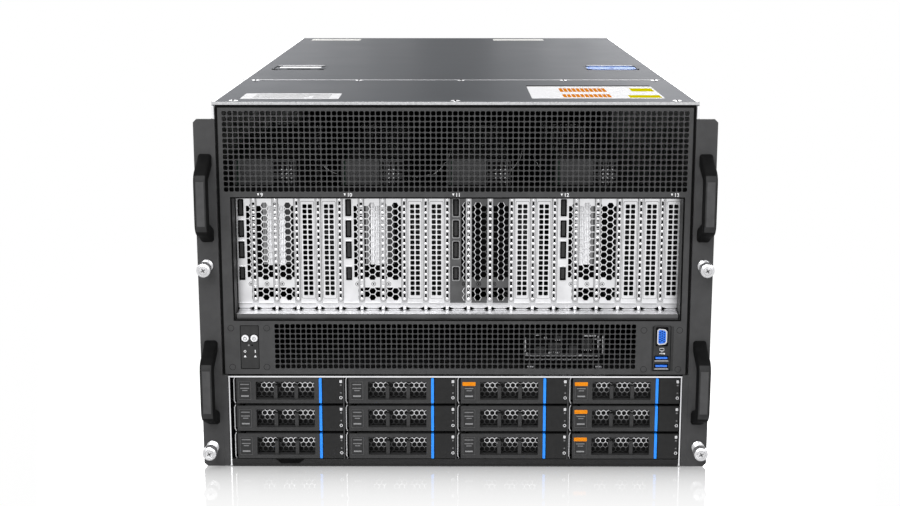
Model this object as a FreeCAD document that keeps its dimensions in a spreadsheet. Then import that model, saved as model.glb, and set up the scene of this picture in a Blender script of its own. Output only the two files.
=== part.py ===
import FreeCAD, Part
import os
import Sketcher

# Driving sizes of the rack server in millimetres, one spreadsheet cell each
SIZES = {
    # Chassis tub and its two top covers
    "chassis_width": 447.0,
    "chassis_height": 351.0,
    "chassis_depth": 850.0,
    "wall": 1.5,
    "top_flange": 10.0,
    "cover_sheet": 1.2,
    "cover_fit": 0.1,
    "cover_skirt": 13.0,
    "cover_lip": 3.4,
    "cover_seam": 0.4,
    "front_cover_length": 223.0,
    # Shelves that part the three bays
    "lower_shelf_z": 88.4,
    "middle_bay": 52.1,
    "gpu_shelf_setback": 3.0,
    "gpu_shelf_notch": 19.0,
    "shelf_sheet": 1.5,
    # Rack ears, handles and thumb screws
    "ear_reach": 17.8,
    "ear_overlap": 2.1,
    "ear_drop": 16.0,
    "ear_plate": 2.5,
    "ear_leg": 45.0,
    "ear_corner": 3.0,
    "screw_inset": 8.75,
    "screw_low_z": 19.7,
    "rack_unit": 44.45,
    "rack_clearance": 5.0,
    "screw_hole_r": 4.6,
    "thumb_thread_r": 3.0,
    "thumb_thread": 12.0,
    "thumb_collar_r": 5.3,
    "thumb_collar": 11.0,
    "thumb_head_r": 6.6,
    "thumb_head": 13.0,
    "thumb_knurls": 16,
    "collar_sides": 8,
    "pin_sides": 6,
    "hole_sides": 8,
    "handle_inset": 10.0,
    "handle_width": 14.0,
    "handle_length": 84.5,
    "handle_reach": 37.0,
    "handle_grip": 47.0,
    "handle_bar": 9.0,
    "handle_foot": 13.0,
    "handle_edge": 2.2,
    "handle_low_z": 83.7,
    "handle_drop": 73.5,
    # Front panel with its slot window and two grilles
    "panel_gap": 4.7,
    "panel_foot": 1.8,
    "panel_drop": 4.0,
    "panel_ply": 0.75,
    "panel_return": 16.5,
    "panel_pad": 12.0,
    "window_left_margin": 11.3,
    "window_right_margin": 7.3,
    "window_foot": 2.0,
    "window_height": 116.5,
    "grille_margin": 3.75,
    "grille_bar": 1.06,
    "upper_columns": 85,
    "upper_rows": 15,
    "upper_foot": 5.0,
    "upper_head": 4.1,
    "lower_columns": 68,
    "lower_rows": 9,
    "lower_foot": 4.6,
    "lower_head": 3.7,
    # Expansion slots behind the window
    "slot_pitch": 20.32,
    "slot_shift": 0.5,
    "slot_bar": 4.6,
    "slot_recess": 20.0,
    "slot_sheet": 1.2,
    "slot_foot": 15.5,
    "slot_height": 103.5,
    "slot_head": 5.5,
    "slot_frame_gap": 1.0,
    "slot_rail": 15.0,
    "slot_ledge_rise": 6.5,
    "bracket_sheet": 1.0,
    "bracket_width": 18.4,
    "bracket_foot": 12.5,
    "bracket_tab": 11.0,
    "boss_width": 12.1,
    "boss_foot": 17.4,
    "boss_height": 93.7,
    "boss_margin": 3.0,
    "boss_hole": 3.6,
    "boss_hole_pitch": 5.09,
    "boss_columns": 2,
    # Graphics cards and the boards that carry them
    "card_slots": 3,
    "card_step": 5,
    "card_width": 54.0,
    "card_length": 312.0,
    "card_foot": 19.5,
    "card_height": 128.0,
    "card_edge_drop": 12.0,
    "card_board": 1.6,
    "card_board_inset": 3.4,
    "card_gap": 0.4,
    "card_finger_gap": 1.0,
    "card_lid_drop": 1.0,
    "port_width": 5.9,
    "port_depth": 9.0,
    "port_low_foot": 34.5,
    "port_low_height": 14.5,
    "port_foot": 55.5,
    "port_height": 18.2,
    "port_pitch": 20.4,
    "port_count": 3,
    "board_sheet": 2.0,
    "board_rise": 3.0,
    "gpu_board_length": 380.0,
    "gpu_board_margin": 10.7,
    "gpu_board_setback": 27.0,
    "socket_width": 7.6,
    "socket_length": 89.0,
    "socket_height": 11.0,
    "socket_setback": 60.0,
    "socket_slit": 0.2,
    "power_board_width": 330.0,
    "power_board_length": 120.0,
    "standoff_r": 3.0,
    "standoff_sides": 4,
    # Drive cage with four columns and three rows
    "cage_gap": 7.2,
    "cage_margin": 2.5,
    "cage_depth": 178.0,
    "cage_sheet": 1.5,
    "cage_divider": 1.2,
    "cage_sill": 5.5,
    "cage_sill_depth": 5.0,
    "cell_columns": 4,
    "cell_rows": 3,
    "lip_sheet": 1.0,
    # Drive tray and its swing lever
    "tray_clear": 0.7,
    "tray_lift": 0.6,
    "tray_gap": 0.3,
    "row_gap": 2.7,
    "tray_inset": 5.4,
    "tray_plate": 3.0,
    "tray_plate_y": 12.0,
    "sled_wall": 1.3,
    "sled_gap": 0.3,
    "sled_drop": 0.5,
    "sled_length": 150.0,
    "drive_length": 147.0,
    "lever_length": 78.5,
    "lever_depth": 7.0,
    "lever_gap": 0.4,
    "grip_width": 3.0,
    "hinge_x": 3.5,
    "hinge_y": 3.5,
    "hinge_pin_r": 1.0,
    "hinge_bore_r": 1.3,
    "hinge_ear": 1.8,
    "hinge_ear_half": 1.4,
    "hinge_notch": 7.5,
    "hinge_skin": 1.2,
    "lever_window_left": 18.6,
    "lever_window_right": 73.8,
    "lever_window_margin": 3.8,
    "lever_rib": 4.1,
    "lever_rib_left": 35.0,
    "lever_rib_right": 54.6,
    "vent_inset": 0.8,
    # Control module on the left and port module on the right
    "module_sink": 0.4,
    "module_depth": 14.0,
    "module_flange": 2.0,
    "control_inset": 15.3,
    "control_width": 17.8,
    "control_foot": 5.0,
    "control_height": 42.8,
    "io_inset": 12.3,
    "io_width": 20.8,
    "io_foot": 3.3,
    "io_height": 43.7,
    "button_offset": 4.25,
    "button_drop": 12.7,
    "button_r": 3.5,
    "button_fit": 0.4,
    "button_sides": 16,
    "button_proud": 0.8,
    "button_length": 9.8,
    "button_well": 12.0,
    "socket_shift": 0.6,
    "vga_width": 11.2,
    "vga_rise": 25.1,
    "vga_height": 17.4,
    "usb_width": 13.2,
    "usb_height": 4.9,
    "usb_high_rise": 10.1,
    "usb_low_rise": 2.2,
    "socket_wall": 0.6,
    "socket_depth": 9.0,
    # Cover latches
    "latch_inset": 42.7,
    "latch_y": 357.5,
    "latch_width": 56.0,
    "latch_length": 40.0,
    "latch_sheet": 4.0,
    "latch_sink": 0.4,
    "latch_corner": 6.0,
    "latch_pin_r": 1.3,
    "latch_bore_r": 1.8,
    "latch_pin_inset": 3.5,
    "pan_y": 354.0,
    "pan_width": 59.0,
    "pan_length": 51.0,
    "pan_depth": 9.0,
    "pan_sheet": 1.2,
    # Fan modules at the rear of the graphics bay
    "fan_count": 4,
    "fan_margin": 10.7,
    "fan_rim": 6.5,
    "fan_depth": 38.0,
    "fan_motor_r": 20.0,
    "fan_spider": 4.0,
    "fan_strut": 6.0,
    "hub_r": 21.0,
    "hub_length": 25.0,
    "hub_gap": 1.0,
    "shaft_r": 2.0,
    "shaft_fit": 0.5,
    "shaft_length": 3.0,
    "blade_count": 5,
    "blade_gap": 2.6,
    "blade_sheet": 2.0,
    "blade_sweep": 7.0,
    "blade_chord": 18.0,
    "hub_sides": 8,
    "motor_sides": 8,
    "bore_sides": 24,
    # Power supplies at the rear of the middle bay
    "psu_count": 4,
    "psu_pitch": 76.0,
    "psu_width": 73.5,
    "psu_height": 40.0,
    "psu_length": 185.0,
    "psu_fit": 0.2,
    "psu_proud": 1.5,
    "psu_inlet_width": 24.0,
    "psu_inlet_height": 20.0,
    "psu_inlet_depth": 12.0,
    "psu_inlet_x": 18.0,
    "psu_vent": 28.0,
    "psu_vent_x": 18.0,
    "psu_vent_depth": 6.0,
    "psu_handle_span": 40.0,
    "psu_handle_reach": 24.0,
    "psu_handle_bar": 4.0,
    "psu_handle_height": 9.0,
    # Computing boards in the lower bay
    "main_board_width": 330.0,
    "main_board_length": 430.0,
    "main_board_rise": 6.5,
    "sink_width": 92.0,
    "sink_length": 110.0,
    "sink_base": 8.0,
    "sink_height": 58.0,
    "sink_fins": 6,
    "sink_fin": 1.6,
    "sink_x": 80.0,
    "memory_length": 133.0,
    "memory_height": 32.0,
    "memory_sheet": 4.0,
    "memory_pitch": 9.5,
    "memory_count": 4,
    "memory_gap": 8.0,
    "rear_port_width": 90.0,
    "rear_port_height": 34.0,
    "rear_port_depth": 24.0,
    "rear_port_x": 90.0,
    "rear_vent_slot": 5.0,
    "rear_vent_pitch": 17.0,
    "rear_vent_columns": 5,
    "upper_vent_rows": 4,
    "upper_vent_pitch": 18.0,
    "upper_vent_margin": 10.0,
}

# Reach of a cutting tool beyond the face it breaks through
OVER = 1.0

SIDES = ((-1, "left"), (1, "right"))
X_AXIS = FreeCAD.Vector(1, 0, 0)
Y_AXIS = FreeCAD.Vector(0, 1, 0)
Z_AXIS = FreeCAD.Vector(0, 0, 1)

doc = FreeCAD.newDocument("RackServer")
sheet = doc.addObject("Spreadsheet::Sheet", "Sizes")
for row, (alias, size) in enumerate(SIZES.items(), start=1):
    sheet.set(f"A{row}", alias)
    sheet.set(f"B{row}", str(size))
    sheet.setAlias(f"B{row}", alias)
doc.recompute()

NODES = {}


class Term:
    """A length that carries its spreadsheet expression and its value."""

    def __init__(self, text, value):
        self.text = text
        self.value = value

    def __add__(self, other):
        other = term(other)
        return Term(f"({self.text} + {other.text})", self.value + other.value)

    def __sub__(self, other):
        other = term(other)
        return Term(f"({self.text} - {other.text})", self.value - other.value)

    def __mul__(self, other):
        other = term(other)
        return Term(f"({self.text} * {other.text})", self.value * other.value)

    def __truediv__(self, other):
        other = term(other)
        return Term(f"({self.text} / {other.text})", self.value / other.value)

    def __radd__(self, other):
        return term(other) + self

    def __rsub__(self, other):
        return term(other) - self

    def __rmul__(self, other):
        return term(other) * self

    def __neg__(self):
        return Term(f"(0 - {self.text})", -self.value)


def term(item):
    """Give a plain number as a term, and a term as it is."""
    if isinstance(item, Term):
        return item
    return Term(repr(float(item)), float(item))


class Cells:
    """The spreadsheet's cells as terms, one attribute for each alias."""

    def __init__(self):
        for alias in SIZES:
            setattr(self, alias, Term(f"Sizes.{alias}", float(sheet.get(alias))))


S = Cells()
FRONT = -S.chassis_depth / 2
REAR = S.chassis_depth / 2
WALL_OUT = S.chassis_width / 2 - S.cover_sheet - S.cover_fit
WALL_IN = WALL_OUT - S.wall
WALL_TOP = S.chassis_height - S.cover_sheet
LOWER_TOP = S.lower_shelf_z + S.shelf_sheet
GPU_SHELF = LOWER_TOP + S.middle_bay
GPU_TOP = GPU_SHELF + S.shelf_sheet
EAR_EDGE = S.chassis_width / 2 + S.ear_reach
EAR_TOP = S.chassis_height - S.ear_drop
SCREW_X = EAR_EDGE - S.screw_inset
RACK_UNITS = int((S.chassis_height + S.rack_clearance).value // S.rack_unit.value)
SCREW_RISE = S.rack_unit * (RACK_UNITS // 2)
SCREW_LEVELS = (("low", S.screw_low_z), ("high", S.screw_low_z + SCREW_RISE))
PANEL_SHEET = S.panel_ply * 2
PANEL_HALF = S.chassis_width / 2 - S.panel_gap
PANEL_Z = (LOWER_TOP + S.panel_foot, S.chassis_height - S.panel_drop)
WINDOW_X = (S.window_left_margin - PANEL_HALF, PANEL_HALF - S.window_right_margin)
WINDOW_Z = (GPU_TOP + S.window_foot, GPU_TOP + S.window_foot + S.window_height)
CONTROL_X = (S.control_inset - PANEL_HALF, S.control_inset + S.control_width - PANEL_HALF)
CONTROL_Z = (PANEL_Z[0] + S.control_foot, PANEL_Z[0] + S.control_foot + S.control_height)
IO_X = (PANEL_HALF - S.io_inset - S.io_width, PANEL_HALF - S.io_inset)
IO_Z = (PANEL_Z[0] + S.io_foot, PANEL_Z[0] + S.io_foot + S.io_height)
SLOT_FRONT = FRONT + S.slot_recess
SLOT_BACK = SLOT_FRONT + S.slot_sheet
SLOT_SPAN = WINDOW_X[1] - WINDOW_X[0] + S.slot_bar * 2
SLOT_COUNT = int(SLOT_SPAN.value // S.slot_pitch.value)
SLOT_LEFT = (WINDOW_X[0] + WINDOW_X[1]) / 2 + S.slot_shift - S.slot_pitch * SLOT_COUNT / 2
SLOT_Z = (GPU_TOP + S.slot_foot, GPU_TOP + S.slot_foot + S.slot_height)
SLOT_FRAME_TOP = SLOT_Z[1] + S.slot_head
CARD_Z = (GPU_TOP + S.card_foot, GPU_TOP + S.card_foot + S.card_height)
CARD_EDGE = CARD_Z[0] - S.card_edge_drop
BRACKET_BACK = SLOT_BACK + S.bracket_sheet
CAGE_HALF = S.chassis_width / 2 - S.cage_gap
CELL_WIDTH = (CAGE_HALF - S.cage_margin) * 2 / S.cell_columns
TRAY_TOP = S.lower_shelf_z - S.tray_clear
TRAY_ROOM = TRAY_TOP - S.wall - S.cage_sill - S.tray_lift
TRAY_HEIGHT = (TRAY_ROOM - S.row_gap * (S.cell_rows - 1)) / S.cell_rows
CELL_HEIGHT = TRAY_HEIGHT + S.row_gap
DRIVE_WIDTH = CELL_WIDTH - S.cage_divider - S.sled_gap * 5 - S.sled_wall * 2
FAN = (WALL_IN - S.fan_margin) * 2 / S.fan_count
FAN_BORE = FAN / 2 - S.fan_rim
LATCH_X = WALL_IN - S.latch_inset


def count(size):
    """A spreadsheet count as a whole number."""
    return int(round(size.value))


def bind(thing, path, size):
    thing.setExpression(path, term(size).text)


def place(thing, x, y, z, turn=None):
    """Put a thing at x, y, z with every coordinate bound to the sheet."""
    spot = FreeCAD.Vector(term(x).value, term(y).value, term(z).value)
    thing.Placement = FreeCAD.Placement(spot, turn or FreeCAD.Rotation())
    for axis, size in zip("xyz", (x, y, z)):
        bind(thing, f"Placement.Base.{axis}", size)


def block(name, x, y, z):
    """A box between the low and high ends given for x, y and z."""
    solid = doc.addObject("Part::Box", name)
    for side, span in zip(("Length", "Width", "Height"), (x, y, z)):
        bind(solid, side, span[1] - span[0])
    place(solid, x[0], y[0], z[0])
    return solid


def stand(solid, axis, spot, span):
    """Set a post along its axis; spot gives its two other coordinates."""
    bind(solid, "Height", span[1] - span[0])
    if axis == "x":
        turn = FreeCAD.Rotation(Z_AXIS, X_AXIS)
        place(solid, span[0], spot[0], spot[1], turn)
    elif axis == "y":
        turn = FreeCAD.Rotation(Z_AXIS, Y_AXIS)
        place(solid, spot[0], span[0], spot[1], turn)
    else:
        place(solid, spot[0], spot[1], span[0])
    return solid


def rod(name, axis, spot, span, radius):
    """A cylinder along x, y or z."""
    solid = doc.addObject("Part::Cylinder", name)
    bind(solid, "Radius", radius)
    return stand(solid, axis, spot, span)


def prism(name, axis, spot, span, radius, sides):
    """A many-sided post along x, y or z, placed like a rod."""
    solid = doc.addObject("Part::Prism", name)
    bind(solid, "Polygon", sides)
    bind(solid, "Circumradius", radius)
    return stand(solid, axis, spot, span)


def fuse(name, parts):
    solid = doc.addObject("Part::MultiFuse", name)
    solid.Shapes = parts
    solid.Refine = True
    return solid


def group(name, parts):
    solid = doc.addObject("Part::Compound", name)
    solid.Links = parts
    return solid


def cut(name, base, tools):
    solid = doc.addObject("Part::Cut", name)
    solid.Base = base
    solid.Tool = tools[0] if len(tools) == 1 else group(f"{name}_tools", tools)
    solid.Refine = True
    return solid


def copy(name, source, x, y, z):
    """The source again at an offset, with the offset bound to the sheet."""
    solid = group(name, [source])
    place(solid, x, y, z)
    return solid


def node(label, thing):
    """Give a finished sub-part its own name."""
    thing.Label = label
    NODES[label] = thing
    return thing


def origin_item(body, role):
    """A plane or an axis of the body's own origin."""
    return [item for item in body.Origin.OriginFeatures if item.Role == role][0]


def sketch(body, name, role, loops, offset):
    """Closed outlines on an origin plane, every corner bound to the sheet."""
    drawing = body.newObject("Sketcher::SketchObject", name)
    drawing.AttachmentSupport = [(origin_item(body, role), "")]
    drawing.MapMode = "FlatFace"
    bind(drawing, "AttachmentOffset.Base.z", offset)
    first = 0
    for loop in loops:
        corners = [(term(across), term(up)) for across, up in loop]
        last = first + len(corners)
        for spot, follow in zip(corners, corners[1:] + corners[:1]):
            start = FreeCAD.Vector(spot[0].value, spot[1].value, 0)
            end = FreeCAD.Vector(follow[0].value, follow[1].value, 0)
            drawing.addGeometry(Part.LineSegment(start, end), False)
        for line in range(first, last):
            follow = first if line + 1 == last else line + 1
            drawing.addConstraint(Sketcher.Constraint("Coincident", line, 2, follow, 1))
        for line, spot in enumerate(corners, start=first):
            for kind, size in zip(("DistanceX", "DistanceY"), spot):
                rule = Sketcher.Constraint(kind, -1, 1, line, 1, size.value)
                bind(drawing, f"Constraints[{drawing.addConstraint(rule)}]", size)
        first = last
    return drawing


def pad(body, name, role, loops, span):
    """Outlines on a plane made solid from the low to the high end of span."""
    offset = -span[1] if role == "XZ_Plane" else span[0]
    feature = body.newObject("PartDesign::Pad", name)
    feature.Profile = sketch(body, f"{name}_outline", role, loops, offset)
    bind(feature, "Length", span[1] - span[0])
    body.Tip = feature
    return feature


def pocket(body, name, role, loops, span):
    """Outlines on a plane taken away from the low to the high end of span."""
    offset = -span[0] if role == "XZ_Plane" else span[1]
    feature = body.newObject("PartDesign::Pocket", name)
    feature.Profile = sketch(body, f"{name}_outline", role, loops, offset)
    bind(feature, "Length", span[1] - span[0])
    body.Tip = feature
    return feature


def pattern(body, name, original, axis, pitch, number):
    """A feature again and again at a pitch along its sketch's axis."""
    feature = body.newObject("PartDesign::LinearPattern", name)
    feature.Originals = [original]
    feature.Direction = (original.Profile[0], [axis])
    bind(feature, "Length", pitch * (number - 1))
    bind(feature, "Occurrences", number)
    body.Tip = feature
    return feature


def dress(body, name, size, wanted):
    """Bevel the edges of the body that the test wanted picks out."""
    doc.recompute()
    base = body.Tip
    names = [f"Edge{i}" for i, edge in enumerate(base.Shape.Edges, start=1) if wanted(edge)]
    feature = body.newObject("PartDesign::Chamfer", name)
    feature.Base = (base, names)
    bind(feature, "Size", size)
    body.Tip = feature
    return feature


def new_body(name):
    return doc.addObject("PartDesign::Body", name)


def rectangle(x, z):
    """The four corners between the ends of two spans."""
    return [(x[0], z[0]), (x[1], z[0]), (x[1], z[1]), (x[0], z[1])]


def runs_along(edge, axis):
    """Whether a straight edge runs along an axis."""
    ends = edge.Vertexes
    if len(ends) != 2:
        return False
    step = ends[1].Point - ends[0].Point
    return abs(abs(step.dot(axis)) - step.Length) < 1e-6


def around(middle, width):
    """The low and high ends of a width set about a middle."""
    return (middle - width / 2, middle + width / 2)


# Chassis tub: floor, side walls and inward top flanges bent from one sheet
def build_chassis():
    tub = new_body("tub")
    flange_in = WALL_IN - S.top_flange
    flange_under = WALL_TOP - S.wall
    profile = [
        (-WALL_OUT, 0),
        (WALL_OUT, 0),
        (WALL_OUT, WALL_TOP),
        (flange_in, WALL_TOP),
        (flange_in, flange_under),
        (WALL_IN, flange_under),
        (WALL_IN, S.wall),
        (-WALL_IN, S.wall),
        (-WALL_IN, flange_under),
        (-flange_in, flange_under),
        (-flange_in, WALL_TOP),
        (-WALL_OUT, WALL_TOP),
    ]
    wall_front = FRONT + S.ear_plate
    pad(tub, "tub_sheet", "XZ_Plane", [profile], (wall_front, REAR))
    sill = rectangle((-CAGE_HALF, CAGE_HALF), (0, S.wall))
    pad(tub, "tub_sill", "XZ_Plane", [sill], (FRONT, wall_front))
    node("chassis_shell", tub)


def shelf(name, tongue, y, z):
    """A flat sheet across the chassis with a narrower tongue at its front."""
    outline = [
        (-tongue, y[0]),
        (tongue, y[0]),
        (tongue, y[1]),
        (WALL_IN, y[1]),
        (WALL_IN, y[2]),
        (-WALL_IN, y[2]),
        (-WALL_IN, y[1]),
        (-tongue, y[1]),
    ]
    body = new_body(name)
    pad(body, f"{name}_sheet", "XY_Plane", [outline], (z, z + S.shelf_sheet))
    return body


# Shelves: the lower one lids the drive cage, the upper one carries the cards
def build_shelves():
    back = REAR - S.wall
    lower_y = (FRONT, FRONT + S.ear_plate, back)
    node("lower_shelf", shelf("lower_tray", CAGE_HALF, lower_y, S.lower_shelf_z))
    clear = PANEL_HALF - PANEL_SHEET * 2
    upper_y = (FRONT + S.gpu_shelf_setback, FRONT + S.gpu_shelf_notch, back)
    node("gpu_shelf", shelf("upper_tray", clear, upper_y, GPU_SHELF))


# Rear panel with openings for fans, power supplies, ports and air
def build_rear_panel():
    y = (REAR - S.wall, REAR)
    fan_top = GPU_TOP + FAN
    psu_top = LOWER_TOP + S.psu_height + S.psu_fit * 2
    port_z = S.wall + S.main_board_rise + S.board_sheet
    port_top = port_z + S.rear_port_height
    loops = [
        rectangle((-WALL_IN, WALL_IN), (S.wall, WALL_TOP - S.wall)),
        rectangle(around(0, FAN * S.fan_count), (GPU_TOP, fan_top)),
        rectangle(around(0, S.psu_count * S.psu_pitch), (LOWER_TOP, psu_top)),
        rectangle(around(S.rear_port_x, S.rear_port_width), (port_z, port_top)),
    ]
    plate = new_body("rear_plate")
    pad(plate, "rear_sheet", "XZ_Plane", loops, y)
    slot = S.rear_vent_slot
    low_z = (port_top + slot * 2, S.lower_shelf_z - slot * 2)
    high_z = (fan_top + S.upper_vent_pitch, fan_top + S.upper_vent_pitch + slot)
    for side, name in SIDES:
        first = side * S.rear_port_x - S.rear_vent_pitch * (S.rear_vent_columns - 1) / 2
        upright = rectangle(around(first, slot), low_z)
        vent = pocket(plate, f"low_vent_{name}", "XZ_Plane", [upright], y)
        pattern(plate, f"low_vents_{name}", vent, "H_Axis", S.rear_vent_pitch, S.rear_vent_columns)
        level = rectangle(around(side * FAN, (FAN - S.upper_vent_margin) * 2), high_z)
        vent = pocket(plate, f"high_vent_{name}", "XZ_Plane", [level], y)
        pattern(plate, f"high_vents_{name}", vent, "V_Axis", S.upper_vent_pitch, S.upper_vent_rows)
    node("rear_panel", plate)


def cover(name, y):
    """A top cover: a flat sheet with a skirt down each side."""
    half = S.chassis_width / 2
    inner = half - S.cover_sheet
    edge = S.chassis_height - S.cover_skirt
    profile = [
        (-half, edge),
        (-inner, edge),
        (-inner, WALL_TOP),
        (inner, WALL_TOP),
        (inner, edge),
        (half, edge),
        (half, S.chassis_height),
        (-half, S.chassis_height),
    ]
    body = new_body(name)
    pad(body, f"{name}_sheet", "XZ_Plane", [profile], y)
    return body


def latch_axis():
    """Where the latch pins run: y and z of the pin."""
    rear_edge = FRONT + S.latch_y + S.latch_length / 2
    return (rear_edge - S.latch_pin_inset, S.chassis_height - S.latch_sink - S.latch_sheet / 2)


# Top covers: the front one is screwed down, the rear one slides back
def build_covers():
    seam = FRONT + S.front_cover_length
    fore = cover("fore_cover", (FRONT, seam))
    inner = S.chassis_width - S.cover_sheet * 2
    lip = rectangle(around(0, inner), (S.chassis_height - S.cover_lip, WALL_TOP))
    pad(fore, "fore_lip", "XZ_Plane", [lip], (FRONT, FRONT + S.cover_sheet))
    node("front_cover", fore)
    aft = cover("aft_cover", (seam + S.cover_seam, REAR))
    under = WALL_TOP - S.pan_depth
    pans = []
    wells = []
    pins = []
    for side, name in SIDES:
        x = side * LATCH_X
        y = FRONT + S.pan_y
        outer_x = around(x, S.pan_width + S.pan_sheet * 2)
        pans.append(rectangle(outer_x, around(y, S.pan_length + S.pan_sheet * 2)))
        wells.append(rectangle(around(x, S.pan_width), around(y, S.pan_length)))
        span = around(x, S.pan_width + S.pan_sheet)
        pins.append(rod(f"latch_pin_{name}", "x", latch_axis(), span, S.latch_pin_r))
    pad(aft, "aft_pans", "XY_Plane", pans, (under - S.pan_sheet, WALL_TOP))
    pocket(aft, "aft_wells", "XY_Plane", wells, (under, S.chassis_height))
    node("rear_cover", fuse("aft_pinned", [aft] + pins))


# Cover latches: paddles with cut corners that swing up on a pin at their rear edge
def build_latches():
    top = S.chassis_height - S.latch_sink
    paddle = new_body("paddle")
    outline = rectangle(around(0, S.latch_width), around(FRONT + S.latch_y, S.latch_length))
    pad(paddle, "paddle_sheet", "XY_Plane", [outline], (top - S.latch_sheet, top))
    dress(paddle, "paddle_corners", S.latch_corner, lambda edge: runs_along(edge, Z_AXIS))
    span = around(0, S.latch_width + OVER)
    bore = prism("paddle_bore", "x", latch_axis(), span, S.latch_bore_r, S.pin_sides)
    drilled = cut("paddle_drilled", paddle, [bore])
    for side, name in SIDES:
        node(f"cover_latch_{name}", copy(f"latch_{name}", drilled, side * LATCH_X, 0, 0))


def grille(name, field, columns, rows):
    """A grille insert: a ply of upright bars on a ply of level bars."""
    x, z = field
    pitch = (x[1] - x[0]) / columns
    rise = (z[1] - z[0]) / rows
    bar = S.grille_bar / 2
    front_y = (FRONT, FRONT + S.panel_ply)
    back_y = (FRONT + S.panel_ply, FRONT + PANEL_SHEET)
    upright = rectangle((x[0] + bar, x[0] + pitch - bar), (z[0] + bar, z[1]))
    level = rectangle((x[0] + bar, x[1]), (z[0] + bar, z[0] + rise - bar))
    plies = []
    for ply, y, gap, axis, step, number in (
        ("front", front_y, upright, "H_Axis", pitch, columns),
        ("back", back_y, level, "V_Axis", rise, rows),
    ):
        body = new_body(f"{name}_{ply}")
        pad(body, f"{name}_{ply}_sheet", "XZ_Plane", [rectangle(x, z)], y)
        slot = pocket(body, f"{name}_{ply}_slot", "XZ_Plane", [gap], y)
        pattern(body, f"{name}_{ply}_slots", slot, axis, step, number)
        plies.append(body)
    return plies


# Front panel: a bent frame round the slot window, with two grilles set into it
def build_front_panel():
    upper_half = PANEL_HALF - S.grille_margin
    lower_half = upper_half * S.lower_columns / S.upper_columns
    upper = ((-upper_half, upper_half), (WINDOW_Z[1] + S.upper_foot, PANEL_Z[1] - S.upper_head))
    lower = ((-lower_half, lower_half), (PANEL_Z[0] + S.lower_foot, WINDOW_Z[0] - S.lower_head))
    loops = [
        rectangle((-PANEL_HALF, PANEL_HALF), PANEL_Z),
        rectangle(WINDOW_X, WINDOW_Z),
        rectangle(CONTROL_X, CONTROL_Z),
        rectangle(IO_X, IO_Z),
        rectangle(*upper),
        rectangle(*lower),
    ]
    panel = new_body("panel")
    pad(panel, "panel_sheet", "XZ_Plane", loops, (FRONT, FRONT + PANEL_SHEET))
    returns = [
        rectangle((WINDOW_X[0] - PANEL_SHEET, WINDOW_X[0]), WINDOW_Z),
        rectangle((WINDOW_X[1], WINDOW_X[1] + PANEL_SHEET), WINDOW_Z),
    ]
    edge = PANEL_HALF - PANEL_SHEET
    low_pad = PANEL_Z[0] + S.panel_pad
    high_pad = PANEL_Z[1] - S.panel_pad
    for side, name in SIDES:
        returns.append(
            [
                (side * edge, PANEL_Z[0]),
                (side * WALL_IN, PANEL_Z[0]),
                (side * WALL_IN, low_pad),
                (side * PANEL_HALF, low_pad),
                (side * PANEL_HALF, high_pad),
                (side * WALL_IN, high_pad),
                (side * WALL_IN, PANEL_Z[1]),
                (side * edge, PANEL_Z[1]),
            ]
        )
    behind = (FRONT + PANEL_SHEET, FRONT + PANEL_SHEET + S.panel_return)
    pad(panel, "panel_returns", "XZ_Plane", returns, behind)
    node("front_panel", panel)
    plies = grille("upper_grille", upper, S.upper_columns, S.upper_rows)
    plies += grille("lower_grille", lower, S.lower_columns, S.lower_rows)
    node("front_grilles", group("grille_plies", plies))


def slot_x(number):
    """The left edge of an expansion slot, counted from zero."""
    return SLOT_LEFT + number * S.slot_pitch


CARD_COUNT = (SLOT_COUNT - 1) // count(S.card_step)
CARD_SLOTS = set()
for card in range(CARD_COUNT):
    first_slot = card * count(S.card_step)
    CARD_SLOTS.update(range(first_slot, first_slot + count(S.card_slots)))
BLANK_SLOTS = [slot for slot in range(SLOT_COUNT) if slot not in CARD_SLOTS]


# Slot frame: a sheet with one opening for each slot and a rail along its top
def build_slot_frame():
    frame = new_body("slot_wall")
    x = around(0, (WALL_IN - S.slot_frame_gap) * 2)
    outline = rectangle(x, (GPU_TOP, SLOT_FRAME_TOP))
    sheet_y = (SLOT_FRONT, SLOT_BACK)
    pad(frame, "slot_sheet", "XZ_Plane", [outline], sheet_y)
    bar = S.slot_bar / 2
    opening = rectangle((SLOT_LEFT + bar, slot_x(1) - bar), SLOT_Z)
    hole = pocket(frame, "slot_opening", "XZ_Plane", [opening], sheet_y)
    pattern(frame, "slot_openings", hole, "H_Axis", S.slot_pitch, SLOT_COUNT)
    rail = rectangle(x, (SLOT_FRAME_TOP - S.slot_sheet, SLOT_FRAME_TOP))
    pad(frame, "slot_rail", "XZ_Plane", [rail], (SLOT_BACK, SLOT_BACK + S.slot_rail))
    node("slot_frame", frame)


# Slot ledge: a bent sheet from the shelf's front edge back to the slot frame
def build_slot_ledge():
    front = FRONT + S.gpu_shelf_setback
    top = GPU_TOP + S.slot_ledge_rise
    under = top - S.slot_sheet
    profile = [
        (front, GPU_TOP),
        (front + S.slot_sheet, GPU_TOP),
        (front + S.slot_sheet, under),
        (SLOT_FRONT, under),
        (SLOT_FRONT, top),
        (front, top),
    ]
    ledge = new_body("ledge")
    span = (WINDOW_X[0] + S.slot_frame_gap, WINDOW_X[1] - S.slot_frame_gap)
    pad(ledge, "ledge_sheet", "YZ_Plane", [profile], span)
    node("slot_ledge", ledge)


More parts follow.
